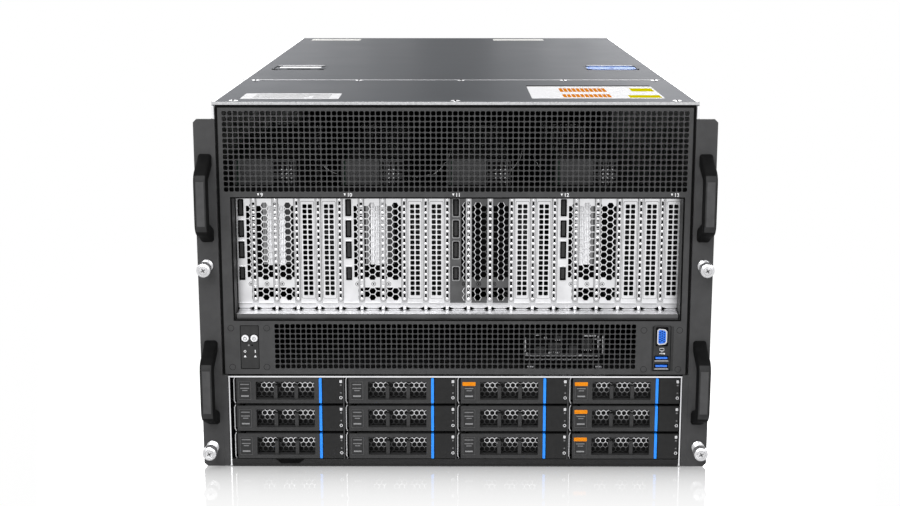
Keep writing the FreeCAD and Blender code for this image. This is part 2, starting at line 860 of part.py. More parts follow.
def bracket(name, first, slots):
    """A bracket bent from sheet, behind the slot frame and under its rail."""
    foot = GPU_TOP + S.bracket_foot
    top = SLOT_FRAME_TOP - S.slot_sheet
    tab = BRACKET_BACK + S.bracket_tab
    profile = [
        (SLOT_BACK, foot),
        (BRACKET_BACK, foot),
        (BRACKET_BACK, top - S.bracket_sheet),
        (tab, top - S.bracket_sheet),
        (tab, top),
        (SLOT_BACK, top),
    ]
    body = new_body(name)
    middle = slot_x(first) + S.slot_pitch * slots / 2
    width = S.slot_pitch * (slots - 1) + S.bracket_width
    pad(body, f"{name}_sheet", "YZ_Plane", [profile], around(middle, width))
    return body


# Slot covers: blanking plates with a raised field and two columns of vents
def build_slot_covers():
    first = BLANK_SLOTS[0]
    blank = bracket("blank_bracket", first, 1)
    middle = slot_x(first) + S.slot_pitch / 2
    boss_z = (GPU_TOP + S.boss_foot, GPU_TOP + S.boss_foot + S.boss_height)
    boss = rectangle(around(middle, S.boss_width), boss_z)
    pad(blank, "blank_boss", "XZ_Plane", [boss], (SLOT_FRONT, SLOT_BACK))
    left = around(middle - S.boss_hole_pitch / 2, S.boss_hole)
    column = rectangle(left, (boss_z[0] + S.boss_margin, boss_z[1] - S.boss_margin))
    slit = pocket(blank, "blank_vent", "XZ_Plane", [column], (SLOT_FRONT, BRACKET_BACK))
    pattern(blank, "blank_vents", slit, "H_Axis", S.boss_hole_pitch, S.boss_columns)
    parts = []
    for slot in BLANK_SLOTS:
        parts.append(copy(f"blank_{slot}", blank, S.slot_pitch * (slot - first), 0, 0))
    node("slot_covers", group("slot_cover_set", parts))


def card_body(inset):
    """A graphics card behind its bracket: board with edge finger, and shroud."""
    y = (BRACKET_BACK + S.card_gap, BRACKET_BACK + S.card_length)
    rail_y = SLOT_BACK + S.slot_rail + S.card_gap
    step_z = SLOT_FRAME_TOP - S.slot_sheet - S.bracket_sheet - S.card_gap
    finger_y = (
        FRONT + S.socket_setback + S.card_finger_gap,
        FRONT + S.socket_setback + S.socket_length - S.card_finger_gap,
    )
    outline = [
        (y[0], CARD_Z[0]),
        (finger_y[0], CARD_Z[0]),
        (finger_y[0], CARD_EDGE),
        (finger_y[1], CARD_EDGE),
        (finger_y[1], CARD_Z[0]),
        (y[1], CARD_Z[0]),
        (y[1], CARD_Z[1]),
        (rail_y, CARD_Z[1]),
        (rail_y, step_z),
        (y[0], step_z),
    ]
    face = inset + S.card_board
    board = new_body("card_pcb")
    pad(board, "card_pcb_sheet", "YZ_Plane", [outline], (inset, face))
    lid = CARD_Z[1] - S.card_lid_drop
    shroud_y = SLOT_BACK + S.port_depth + S.card_gap
    profile = [
        (shroud_y, CARD_Z[0]),
        (y[1], CARD_Z[0]),
        (y[1], lid),
        (rail_y, lid),
        (rail_y, step_z),
        (shroud_y, step_z),
    ]
    shroud = new_body("card_shroud")
    pad(shroud, "card_shroud_form", "YZ_Plane", [profile], (face, face + S.card_width))
    return group("card", [board, shroud])


# Graphics cards: a bracket with four ports, a board and a cooler shroud
def build_cards():
    inset = SLOT_LEFT + S.card_board_inset
    port_x = (inset + S.card_board, inset + S.card_board + S.port_width)
    port_y = (SLOT_BACK - S.bracket_sheet, SLOT_BACK + S.port_depth)
    low = GPU_TOP + S.port_low_foot
    spans = [(low, low + S.port_low_height)]
    for level in range(count(S.port_count)):
        low = GPU_TOP + S.port_foot + level * S.port_pitch
        spans.append((low, low + S.port_height))
    plate = bracket("card_bracket", 0, S.card_slots)
    holes = [rectangle(port_x, z) for z in spans]
    pocket(plate, "card_port_holes", "XZ_Plane", holes, (SLOT_BACK, BRACKET_BACK))
    pieces = [plate]
    for number, z in enumerate(spans):
        pieces.append(block(f"card_port_{number}", port_x, port_y, z))
    front = group("card_front", pieces)
    body = card_body(inset)
    fronts = []
    cards = []
    for number in range(CARD_COUNT):
        shift = S.slot_pitch * S.card_step * number
        fronts.append(copy(f"card_front_{number}", front, shift, 0, 0))
        cards.append(copy(f"card_{number}", body, shift, 0, 0))
    node("gpu_brackets", group("card_fronts", fronts))
    node("gpu_cards", group("card_set", cards))


def board_on_posts(name, x, y, floor, rise):
    """A circuit board and the four posts it stands on."""
    z = (floor + rise, floor + rise + S.board_sheet)
    parts = [block(f"{name}_sheet", x, y, z)]
    inset = S.standoff_r * 2
    for column, post_x in enumerate((x[0] + inset, x[1] - inset)):
        for line, post_y in enumerate((y[0] + inset, y[1] - inset)):
            post = f"{name}_post_{column}{line}"
            spot = (post_x, post_y)
            parts.append(prism(post, "z", spot, (floor, z[0]), S.standoff_r, S.standoff_sides))
    return parts


# Boards: card board with its sockets, power board and drive backplane
def build_boards():
    front = FRONT + S.gpu_board_setback
    y = (front, front + S.gpu_board_length)
    across = around(0, (WALL_IN - S.gpu_board_margin) * 2)
    parts = board_on_posts("gpu_board", across, y, GPU_TOP, S.board_rise)
    base = GPU_TOP + S.board_rise + S.board_sheet
    inset = SLOT_LEFT + S.card_board_inset
    middle = inset + S.card_board / 2
    socket_y = (FRONT + S.socket_setback, FRONT + S.socket_setback + S.socket_length)
    slit_y = (socket_y[0] + S.card_finger_gap / 2, socket_y[1] - S.card_finger_gap / 2)
    top = base + S.socket_height
    socket = new_body("card_socket")
    housing = rectangle(around(middle, S.socket_width), socket_y)
    pad(socket, "socket_housing", "XY_Plane", [housing], (base, top))
    slit = rectangle(around(middle, S.card_board + S.socket_slit * 2), slit_y)
    pocket(socket, "socket_mouth", "XY_Plane", [slit], (CARD_EDGE - S.socket_slit, top))
    for number in range(CARD_COUNT):
        shift = S.slot_pitch * S.card_step * number
        parts.append(copy(f"card_socket_{number}", socket, shift, 0, 0))
    back = REAR - S.psu_length - S.board_rise
    y = (back - S.power_board_length, back)
    parts += board_on_posts("power_board", around(0, S.power_board_width), y, LOWER_TOP, S.board_rise)
    face = FRONT + S.cage_depth
    z = (S.wall, S.lower_shelf_z)
    parts.append(block("backplane", (-CAGE_HALF, CAGE_HALF), (face, face + S.board_sheet), z))
    node("circuit_boards", group("boards", parts))


def cell_x(column):
    """The left edge of a drive cell, counted from zero."""
    return (column - S.cell_columns / 2) * CELL_WIDTH


def sled_bottom(line):
    """The underside of a drive tray's sled in a row, counted from the top."""
    return TRAY_TOP - TRAY_HEIGHT - S.sled_drop - line * CELL_HEIGHT


SLED_LEFT = cell_x(0) + S.cage_divider + S.sled_gap * 2
SLED_RIGHT = SLED_LEFT + DRIVE_WIDTH + S.sled_wall * 2


def comb(teeth, floor, root, tip):
    """A comb outline: teeth are the left and right ends of each upright."""
    outline = [(teeth[0][0], floor)]
    for tooth, follow in zip(teeth, teeth[1:] + [None]):
        outline += [(tooth[0], tip), (tooth[1], tip)]
        if follow:
            outline += [(tooth[1], root), (follow[0], root)]
    outline.append((teeth[-1][1], floor))
    return outline


# Drive cage: floor, walls, dividers and the lips the sleds run on
def build_cage():
    half = CAGE_HALF
    y = (FRONT, FRONT + S.cage_depth)
    floor = S.wall + S.cage_sheet
    uprights = [(-half, S.cage_sheet - half)]
    for column in range(1, count(S.cell_columns)):
        uprights.append((cell_x(column), cell_x(column) + S.cage_divider))
    uprights.append((half - S.cage_sheet, half))
    cage = new_body("cage")
    profile = comb(uprights, S.wall, floor, S.lower_shelf_z)
    pad(cage, "cage_sheet_metal", "XZ_Plane", [profile], y)
    sill = rectangle((-half, half), (S.wall, S.wall + S.cage_sill))
    pad(cage, "cage_sill_bar", "XZ_Plane", [sill], (FRONT, FRONT + S.cage_sill_depth))
    lips = []
    for line in range(count(S.cell_rows)):
        z = (sled_bottom(line) - S.lip_sheet, sled_bottom(line))
        for column in range(count(S.cell_columns) + 1):
            shift = column * CELL_WIDTH
            left = SLED_RIGHT - S.sled_wall - CELL_WIDTH + shift if column else -half
            right = SLED_LEFT + S.sled_wall + shift if column < count(S.cell_columns) else half
            lips.append(rectangle((left, right), z))
    lip_y = (FRONT + S.tray_plate_y + S.tray_plate, FRONT + S.cage_depth)
    pad(cage, "cage_lips", "XZ_Plane", lips, lip_y)
    node("drive_cage", cage)


TRAY_LEFT = cell_x(0) + S.tray_inset
TRAY_RIGHT = cell_x(1) - S.tray_gap
TRAY_BOTTOM = TRAY_TOP - TRAY_HEIGHT
TRAY_Z = (TRAY_BOTTOM, TRAY_TOP)
PLATE_Y = (FRONT + S.tray_plate_y, FRONT + S.tray_plate_y + S.tray_plate)
HINGE = (TRAY_LEFT + S.hinge_x, FRONT + S.hinge_y)
PANE_Z = (TRAY_BOTTOM + S.lever_window_margin, TRAY_TOP - S.lever_window_margin)


def panes():
    """The left and right edges of the three panes between a lever's ribs."""
    ribs = (S.lever_rib_left, S.lever_rib_right)
    lefts = (S.lever_window_left,) + tuple(rib + S.lever_rib for rib in ribs)
    rights = ribs + (S.lever_window_right,)
    return [(TRAY_LEFT + left, TRAY_LEFT + right) for left, right in zip(lefts, rights)]


def tray_carrier():
    """The sled of a drive tray with its front plate, end block and hinge pin."""
    tray = new_body("tray_sled")
    vent = (panes()[0][0] + S.vent_inset, panes()[-1][1] - S.vent_inset)
    loops = [rectangle((SLED_LEFT, SLED_RIGHT), TRAY_Z), rectangle(vent, PANE_Z)]
    pad(tray, "tray_plate_sheet", "XZ_Plane", loops, PLATE_Y)
    sled_z = (TRAY_BOTTOM - S.sled_drop, TRAY_TOP - S.sled_drop)
    walls = [
        rectangle((SLED_LEFT, SLED_LEFT + S.sled_wall), sled_z),
        rectangle((SLED_RIGHT - S.sled_wall, SLED_RIGHT), sled_z),
    ]
    pad(tray, "sled_walls", "XZ_Plane", walls, (PLATE_Y[1], PLATE_Y[1] + S.sled_length))
    end_left = TRAY_LEFT + S.lever_length + S.grip_width + S.lever_gap
    end = rectangle((end_left, TRAY_RIGHT), TRAY_Z)
    pad(tray, "tray_end", "XZ_Plane", [end], (FRONT, PLATE_Y[0]))
    ear_x = around(HINGE[0], S.hinge_ear_half * 2)
    ears = [
        rectangle(ear_x, (TRAY_BOTTOM, TRAY_BOTTOM + S.hinge_ear)),
        rectangle(ear_x, (TRAY_TOP - S.hinge_ear, TRAY_TOP)),
    ]
    pad(tray, "hinge_ears", "XZ_Plane", ears, (HINGE[1] - S.hinge_ear_half, PLATE_Y[0]))
    pin = prism("hinge_pin", "z", HINGE, TRAY_Z, S.hinge_pin_r, S.pin_sides)
    return fuse("tray_carrier", [tray, pin])


def tray_drive():
    """The drive that the sled holds between its walls."""
    bottom = TRAY_BOTTOM - S.sled_drop
    return block(
        "tray_drive",
        (SLED_LEFT + S.sled_wall, SLED_RIGHT - S.sled_wall),
        (PLATE_Y[1], PLATE_Y[1] + S.drive_length),
        (bottom, TRAY_TOP),
    )


def tray_lever():
    """The swing lever: a frame of three panes with a coloured grip edge."""
    y = (FRONT, FRONT + S.lever_depth)
    grip_left = TRAY_LEFT + S.lever_length
    frame = new_body("lever_frame")
    loops = [rectangle((TRAY_LEFT, grip_left), TRAY_Z)]
    loops += [rectangle(pane, PANE_Z) for pane in panes()]
    pad(frame, "lever_bar", "XZ_Plane", loops, y)
    notch = S.hinge_ear + S.lever_gap
    notch_x = (TRAY_LEFT, TRAY_LEFT + S.hinge_notch)
    notches = [
        rectangle(notch_x, (TRAY_BOTTOM, TRAY_BOTTOM + notch)),
        rectangle(notch_x, (TRAY_TOP - notch, TRAY_TOP)),
    ]
    pocket(frame, "lever_notches", "XZ_Plane", notches, (FRONT + S.hinge_skin, y[1]))
    bore_z = (TRAY_BOTTOM + S.hinge_ear, TRAY_TOP - S.hinge_ear)
    bore = prism("lever_bore", "z", HINGE, bore_z, S.hinge_bore_r, S.pin_sides)
    grip = block("lever_grip", (grip_left, grip_left + S.grip_width), y, TRAY_Z)
    return group("lever", [cut("lever_bored", frame, [bore]), grip])


# Drive trays and their levers, one pair for each cell of the cage
def build_trays():
    carrier = group("tray", [tray_carrier(), tray_drive()])
    lever = tray_lever()
    number = 0
    for line in range(count(S.cell_rows)):
        for column in range(count(S.cell_columns)):
            number += 1
            spot = (CELL_WIDTH * column, 0, -CELL_HEIGHT * line)
            node(f"drive_tray_{number:02d}", copy(f"tray_{number:02d}", carrier, *spot))
            node(f"tray_lever_{number:02d}", copy(f"lever_{number:02d}", lever, *spot))


# Rack ears: angle brackets outside the walls with two screw holes each
def build_ears():
    ears = []
    plate_y = FRONT + S.ear_plate
    leg_y = FRONT + S.ear_leg
    for side, name in SIDES:
        edge = side * EAR_EDGE
        inner = side * (S.chassis_width / 2 - S.ear_overlap)
        leg_out = side * (WALL_OUT + S.ear_plate)
        profile = [
            (inner, FRONT),
            (edge, FRONT),
            (edge, plate_y),
            (leg_out, plate_y),
            (leg_out, leg_y),
            (side * WALL_OUT, leg_y),
            (side * WALL_OUT, plate_y),
            (inner, plate_y),
        ]
        ear = new_body(f"ear_{name}")
        pad(ear, f"ear_{name}_sheet", "XY_Plane", [profile], (0, EAR_TOP))

        def outer(line, edge=edge.value):
            """Whether an edge is an outer corner of the ear."""
            return runs_along(line, Y_AXIS) and abs(line.Vertexes[0].X - edge) < 1e-6

        dress(ear, f"ear_{name}_corners", S.ear_corner, outer)
        span = (FRONT - OVER, plate_y + OVER)
        holes = []
        for level, z in SCREW_LEVELS:
            spot = (side * SCREW_X, z)
            hole = f"ear_{name}_hole_{level}"
            holes.append(prism(hole, "y", spot, span, S.screw_hole_r, S.hole_sides))
        ears.append(cut(f"ear_{name}_pierced", ear, holes))
    node("rack_ears", group("ears", ears))


# Rack handles: bent bars with a flat grip and softened outer edges
def build_handles():
    half = S.handle_length / 2
    grip = S.handle_grip / 2
    slope = (half - grip) / S.handle_reach
    inner = half - S.handle_foot - slope * (S.handle_reach - S.handle_bar) / 2
    reach = FRONT - S.handle_reach
    under = reach + S.handle_bar
    profile = [
        (FRONT, -half),
        (reach, -grip),
        (reach, grip),
        (FRONT, half),
        (FRONT, half - S.handle_foot),
        (under, inner),
        (under, -inner),
        (FRONT, S.handle_foot - half),
    ]
    bar = new_body("handle")
    pad(bar, "handle_bend", "YZ_Plane", [profile], around(0, S.handle_width))

    def outer(edge):
        """Whether an edge follows the outside of the bend."""
        if runs_along(edge, X_AXIS):
            return False
        for spot in edge.Vertexes:
            height = half.value + slope.value * (spot.Y - FRONT.value)
            if abs(abs(spot.Z) - height) > 1e-6:
                return False
        return True

    dress(bar, "handle_edges", S.handle_edge, outer)
    handles = []
    for side, name in SIDES:
        x = side * (EAR_EDGE - S.handle_inset)
        for level, z in (("low", S.handle_low_z), ("high", EAR_TOP - S.handle_drop)):
            handles.append(copy(f"handle_{name}_{level}", bar, x, 0, z))
    node("rack_handles", group("handles", handles))


# Thumb screws: knurled head, collar on the ear and thread through it
def build_thumb_screws():
    collar = FRONT - S.thumb_collar
    head = collar - S.thumb_head
    tip = FRONT + S.ear_plate + S.thumb_thread
    parts = [
        prism("thumb_knob", "y", (0, 0), (head, collar), S.thumb_head_r, S.thumb_knurls),
        prism("thumb_stem", "y", (0, 0), (collar, FRONT), S.thumb_collar_r, S.collar_sides),
        rod("thumb_thread_rod", "y", (0, 0), (FRONT, tip), S.thumb_thread_r),
    ]
    screw = fuse("thumb_screw", parts)
    screws = []
    for side, name in SIDES:
        for level, z in SCREW_LEVELS:
            screws.append(copy(f"thumb_{name}_{level}", screw, side * SCREW_X, 0, z))
    node("thumb_screws", group("thumb_screw_set", screws))


def module(name, x, z):
    """A module that fills its opening and is flanged behind the panel."""
    body = new_body(name)
    core_y = (FRONT + S.module_sink, FRONT + S.module_depth)
    pad(body, f"{name}_core", "XZ_Plane", [rectangle(x, z)], core_y)
    flange_x = (x[0] - S.module_flange, x[1] + S.module_flange)
    flange_z = (z[0] - S.module_flange, z[1] + S.module_flange)
    flange_y = (FRONT + PANEL_SHEET, FRONT + PANEL_SHEET * 2)
    pad(body, f"{name}_flange", "XZ_Plane", [rectangle(flange_x, flange_z)], flange_y)
    return body


def port_shell(name, x, z):
    """The metal shell of a port, open to the front."""
    y = (FRONT, FRONT + S.socket_depth)
    wall = S.socket_wall
    shell = new_body(f"{name}_shell")
    pad(shell, f"{name}_outside", "XZ_Plane", [rectangle(x, z)], y)
    mouth = rectangle((x[0] + wall, x[1] - wall), (z[0] + wall, z[1] - wall))
    pocket(shell, f"{name}_mouth", "XZ_Plane", [mouth], (y[0], y[1] - wall))
    return shell


# Front modules: control housing with two buttons, port housing with three ports
def build_front_modules():
    control = module("control_module", CONTROL_X, CONTROL_Z)
    well_y = (FRONT, FRONT + S.button_well)
    button_y = (FRONT - S.button_proud, FRONT - S.button_proud + S.button_length)
    wells = []
    middle = (CONTROL_X[0] + CONTROL_X[1]) / 2
    for name, side in (("power", -1), ("uid", 1)):
        spot = (middle + side * S.button_offset, CONTROL_Z[1] - S.button_drop)
        well_r = S.button_r + S.button_fit
        wells.append(prism(f"{name}_well", "y", spot, well_y, well_r, S.button_sides))
        plunger = prism(f"{name}_plunger", "y", spot, button_y, S.button_r, S.button_sides)
        node(f"{name}_button", plunger)
    ports = module("port_module", IO_X, IO_Z)
    shells = []
    seats = []
    for name, width, rise, height in (
        ("vga", S.vga_width, S.vga_rise, S.vga_height),
        ("usb_high", S.usb_width, S.usb_high_rise, S.usb_height),
        ("usb_low", S.usb_width, S.usb_low_rise, S.usb_height),
    ):
        x = around((IO_X[0] + IO_X[1]) / 2 - S.socket_shift, width)
        z = (IO_Z[0] + rise, IO_Z[0] + rise + height)
        seats.append(rectangle(x, z))
        shells.append(port_shell(name, x, z))
    seat_y = (FRONT + S.module_sink, FRONT + S.socket_depth)
    pocket(ports, "port_seats", "XZ_Plane", seats, seat_y)
    housings = [cut("control_housing", control, wells), ports]
    node("front_io_modules", group("front_modules", housings))
    node("front_ports", group("port_shells", shells))


def fan_rotor(face):
    """The fan wheel behind the motor plate: shaft, hub and a ring of pitched blades."""
    near = face + S.hub_gap
    far = near + S.hub_length
    shaft_y = (face - S.shaft_length, near)
    shaft = rod("fan_shaft", "y", (0, 0), shaft_y, S.shaft_r)
    hub = prism("fan_hub", "y", (0, 0), (near, far), S.hub_r, S.hub_sides)
    blade_y = around((near + far) / 2, S.blade_chord)
    thick = S.blade_sheet / 2
    profile = [
        (-S.blade_sweep - thick, blade_y[0]),
        (thick - S.blade_sweep, blade_y[0]),
        (S.blade_sweep + thick, blade_y[1]),
        (S.blade_sweep - thick, blade_y[1]),
    ]
    wheel = new_body("fan_wheel")
    root = S.hub_r - S.blade_sheet * 2
    vane = pad(wheel, "fan_blade", "XY_Plane", [profile], (root, FAN_BORE - S.blade_gap))
    ring = wheel.newObject("PartDesign::PolarPattern", "fan_blades")
    ring.Originals = [vane]
    ring.Axis = (origin_item(wheel, "Y_Axis"), [""])
    ring.Angle = 360
    bind(ring, "Occurrences", S.blade_count)
    wheel.Tip = ring
    return fuse("fan_rotor", [shaft, hub, wheel])


# Fan modules: square housings with a bore, a motor plate and four struts
def build_fans():
    y = (REAR - S.fan_depth, REAR)
    side = around(0, FAN)
    box = new_body("fan_box")
    pad(box, "fan_block", "XZ_Plane", [rectangle(side, side)], y)
    bore_y = (y[0] - OVER, y[1] + OVER)
    bore = prism("fan_bore", "y", (0, 0), bore_y, FAN_BORE, S.bore_sides)
    spider_y = (y[0] - S.fan_spider, y[0])
    motor = prism("fan_motor", "y", (0, 0), spider_y, S.fan_motor_r, S.motor_sides)
    width = around(0, S.fan_strut)
    struts = [
        block("fan_strut_level", side, spider_y, width),
        block("fan_strut_upright", width, spider_y, side),
    ]
    hole_y = (spider_y[0] - OVER, spider_y[1] + OVER)
    bearing_r = S.shaft_r + S.shaft_fit
    bearing = prism("fan_bearing", "y", (0, 0), hole_y, bearing_r, S.pin_sides)
    spider = cut("fan_spider_plate", fuse("fan_spider_solid", [motor] + struts), [bearing])
    frame = group("fan_frame", [cut("fan_ring", box, [bore]), spider])
    rotor = fan_rotor(spider_y[1])
    frames = []
    z = GPU_TOP + FAN / 2
    for number in range(1, count(S.fan_count) + 1):
        x = (number - (S.fan_count + 1) / 2) * FAN
        frames.append(copy(f"fan_frame_{number}", frame, x, 0, z))
        node(f"fan_rotor_{number}", copy(f"rotor_{number}", rotor, x, 0, z))
    node("fan_frames", group("fan_frame_set", frames))


# Power supplies: boxed units with an inlet, a fan mouth and a pull handle
def build_power_supplies():
    half = S.psu_width / 2
    face = REAR + S.psu_proud
    base = LOWER_TOP + S.psu_fit
    middle = base + S.psu_height / 2
    case = new_body("psu_case")
    outline = rectangle((-half, half), (base, base + S.psu_height))
    pad(case, "psu_shell", "XZ_Plane", [outline], (REAR - S.psu_length, face))
    inlet = rectangle(around(S.psu_inlet_x, S.psu_inlet_width), around(middle, S.psu_inlet_height))
    pocket(case, "psu_inlet", "XZ_Plane", [inlet], (face - S.psu_inlet_depth, face))
    mouth = rectangle(around(-S.psu_vent_x, S.psu_vent), around(middle, S.psu_vent))
    pocket(case, "psu_mouth", "XZ_Plane", [mouth], (face - S.psu_vent_depth, face))
    reach = face + S.psu_handle_reach
    inner = reach - S.psu_handle_bar
    end = S.psu_handle_span - half
    bend = [
        (-half, face),
        (S.psu_handle_bar - half, face),
        (S.psu_handle_bar - half, inner),
        (end - S.psu_handle_bar, inner),
        (end - S.psu_handle_bar, face),
        (end, face),
        (end, reach),
        (-half, reach),
    ]
    loop = new_body("psu_handle")
    pad(loop, "psu_handle_bend", "XY_Plane", [bend], around(middle, S.psu_handle_height))
    unit = group("psu", [case, loop])
    for number in range(1, count(S.psu_count) + 1):
        x = (number - (S.psu_count + 1) / 2) * S.psu_pitch
        node(f"psu_{number}", copy(f"psu_unit_{number}", unit, x, 0, 0))


# Lower bay: main board with its ports, two heat sinks and memory between them
def build_main_board():
    y = (REAR - S.wall - S.main_board_length, REAR - S.wall)
    across = around(0, S.main_board_width)
    board = board_on_posts("main_board", across, y, S.wall, S.main_board_rise)
    top = S.wall + S.main_board_rise + S.board_sheet
    port_x = around(S.rear_port_x, S.rear_port_width)
    port_y = (REAR - S.rear_port_depth, REAR)
    ports = block("rear_ports", port_x, port_y, (top, top + S.rear_port_height))
    node("motherboard", group("main_board", board + [ports]))
    middle = y[0] + S.main_board_length / 2
    pitch = (S.sink_width - S.sink_fin) / (S.sink_fins - 1)
    fins = []
    for fin in range(count(S.sink_fins)):
        left = pitch * fin - S.sink_width / 2
        fins.append((left, left + S.sink_fin))
    sink = new_body("heat_sink")
    profile = comb(fins, top, top + S.sink_base, top + S.sink_height)
    pad(sink, "heat_sink_fins", "XZ_Plane", [profile], around(middle, S.sink_length))
    sinks = [copy(f"heat_sink_{name}", sink, side * S.sink_x, 0, 0) for side, name in SIDES]
    node("cpu_heatsinks", group("heat_sinks", sinks))
    stick_x = around(0, S.memory_sheet)
    stick_y = around(middle, S.memory_length)
    stick = block("memory_stick", stick_x, stick_y, (top, top + S.memory_height))
    sticks = []
    for side, name in SIDES:
        for number in range(count(S.memory_count)):
            x = side * (S.sink_x + S.sink_width / 2 + S.memory_gap + number * S.memory_pitch)
            sticks.append(copy(f"memory_{name}_{number}", stick, x, 0, 0))
    node("memory_modules", group("memory_set", sticks))


def write_parts():
    """Check every object and write each sub-part to its own file."""
    doc.recompute()
    for item in doc.Objects:
        if "Invalid" in item.State or "Error" in item.State:
            raise RuntimeError(f"{item.Name} did not compute: {item.State}")
    os.makedirs("parts", exist_ok=True)
    for label, thing in NODES.items():
        shape = thing.Shape
        if shape.isNull() or not shape.isValid() or not shape.Solids:
            raise RuntimeError(f"{label} has no sound shape")
        shape.exportStep(f"parts/{label}.step")


build_chassis()
build_shelves()
build_rear_panel()
build_covers()
build_latches()
build_front_panel()
build_slot_frame()
build_slot_ledge()
build_slot_covers()
build_cards()
build_boards()
build_cage()
build_trays()
build_ears()
build_handles()
build_thumb_screws()
build_front_modules()
build_fans()
build_power_supplies()
build_main_board()
write_parts()
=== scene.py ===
import math

import bpy
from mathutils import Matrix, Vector
from mathutils.geometry import tessellate_polygon


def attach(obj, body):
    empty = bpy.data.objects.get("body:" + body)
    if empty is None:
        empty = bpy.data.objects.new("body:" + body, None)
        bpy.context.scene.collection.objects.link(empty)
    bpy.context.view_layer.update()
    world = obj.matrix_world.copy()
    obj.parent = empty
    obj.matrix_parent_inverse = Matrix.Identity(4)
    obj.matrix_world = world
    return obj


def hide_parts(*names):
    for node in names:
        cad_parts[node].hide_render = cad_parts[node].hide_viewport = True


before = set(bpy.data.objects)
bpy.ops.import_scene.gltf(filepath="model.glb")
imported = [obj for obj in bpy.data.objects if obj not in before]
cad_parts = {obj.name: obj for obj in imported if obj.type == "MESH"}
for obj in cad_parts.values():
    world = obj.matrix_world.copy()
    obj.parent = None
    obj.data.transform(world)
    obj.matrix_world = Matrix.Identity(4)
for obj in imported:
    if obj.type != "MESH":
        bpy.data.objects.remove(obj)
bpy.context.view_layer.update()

# Lengths are millimetres: X from the middle, Y back from the front plane, Z up from the underside
MM = 0.001
HALF_DEPTH = 0.425  # in metres: the frame's origin lies half way back
TOP = 351.0
REAR = 850.0


# Spans and outlines

def about(middle, half):
    return (middle - half, middle + half)


def within(span, margin):
    return (span[0] + margin, span[1] - margin)


def both_sides(near, far):
    """The same span on the left and on the right."""
    return ((-far, -near), (near, far))


def measured_from(base):
    """A function for spans that are measured from a base."""
    return lambda low, high: (base + low, base + high)


def polar(centre, radius, degrees):
    turn = math.radians(degrees)
    return (centre[0] + radius * math.cos(turn), centre[1] + radius * math.sin(turn))


def rectangle(x, z):
    return [(x[0], z[0]), (x[1], z[0]), (x[1], z[1]), (x[0], z[1])]


def rounded(x, z, radius, steps=4):
    """A rectangle with round corners."""
    first, *corners = rectangle(within(x, radius), within(z, radius))
    return [
        polar(corner, radius, 90 * number - 90 + 90 * step / steps)
        for number, corner in enumerate(corners + [first]) for step in range(steps + 1)
    ]


def ring(a, b, radius, steps, start=0):
    """A regular outline round a point."""
    return [polar((a, b), radius, start + 360 * step / steps) for step in range(steps)]


def grid(start, pitch, count):
    """Places in columns and rows, row by row."""
    columns, rows = map(range, count)
    return [(start[0] + a * pitch[0], start[1] + b * pitch[1]) for b in rows for a in columns]


def moved(outline, a, b):
    return [(p + a, q + b) for p, q in outline]


def scaled(outline, centre, share):
    a, b = centre
    return [(a + share * (p - a), b + share * (q - b)) for p, q in outline]


def clipped(outline, x, z, least):
    """The part of a convex outline inside a rectangle, or nothing where too little is left."""
    for axis, limit, sign in ((0, x[0], 1), (0, x[1], -1), (1, z[0], 1), (1, z[1], -1)):
        kept = []
        for here, there in zip(outline, outline[1:] + outline[:1]):
            near = sign * (here[axis] - limit)
            far = sign * (there[axis] - limit)
            if near >= 0:
                kept.append(here)
            if near * far < 0:
                share = near / (near - far)
                kept.append(tuple(p + share * (q - p) for p, q in zip(here, there)))
        outline = kept
    return outline if abs(area(outline)) > least else []


def area(outline):
    pairs = zip(outline, outline[1:] + outline[:1])
    return sum(p[0] * q[1] - q[0] * p[1] for p, q in pairs) / 2


def wound(outline, sign):
    return outline if area(outline) * sign > 0 else outline[::-1]


def spot(axis, a, b, along):
    """The point of a profile at (a, b), that far along an axis."""
    return {"x": (along, a, b), "y": (a, along, b), "z": (a, b, along)}[axis]


# Meshes

def added(name, data):
    thing = bpy.data.objects.new(name, data)
    bpy.context.scene.collection.objects.link(thing)
    return thing


def soften(thing, width):
    """Rounds the edges of a piece or a carried-over node."""
    bevel = thing.modifiers.new("edges", "BEVEL")
    bevel.width = width * MM
    bevel.segments = 2
    bevel.limit_method = "ANGLE"
    bevel.angle_limit = math.radians(40)


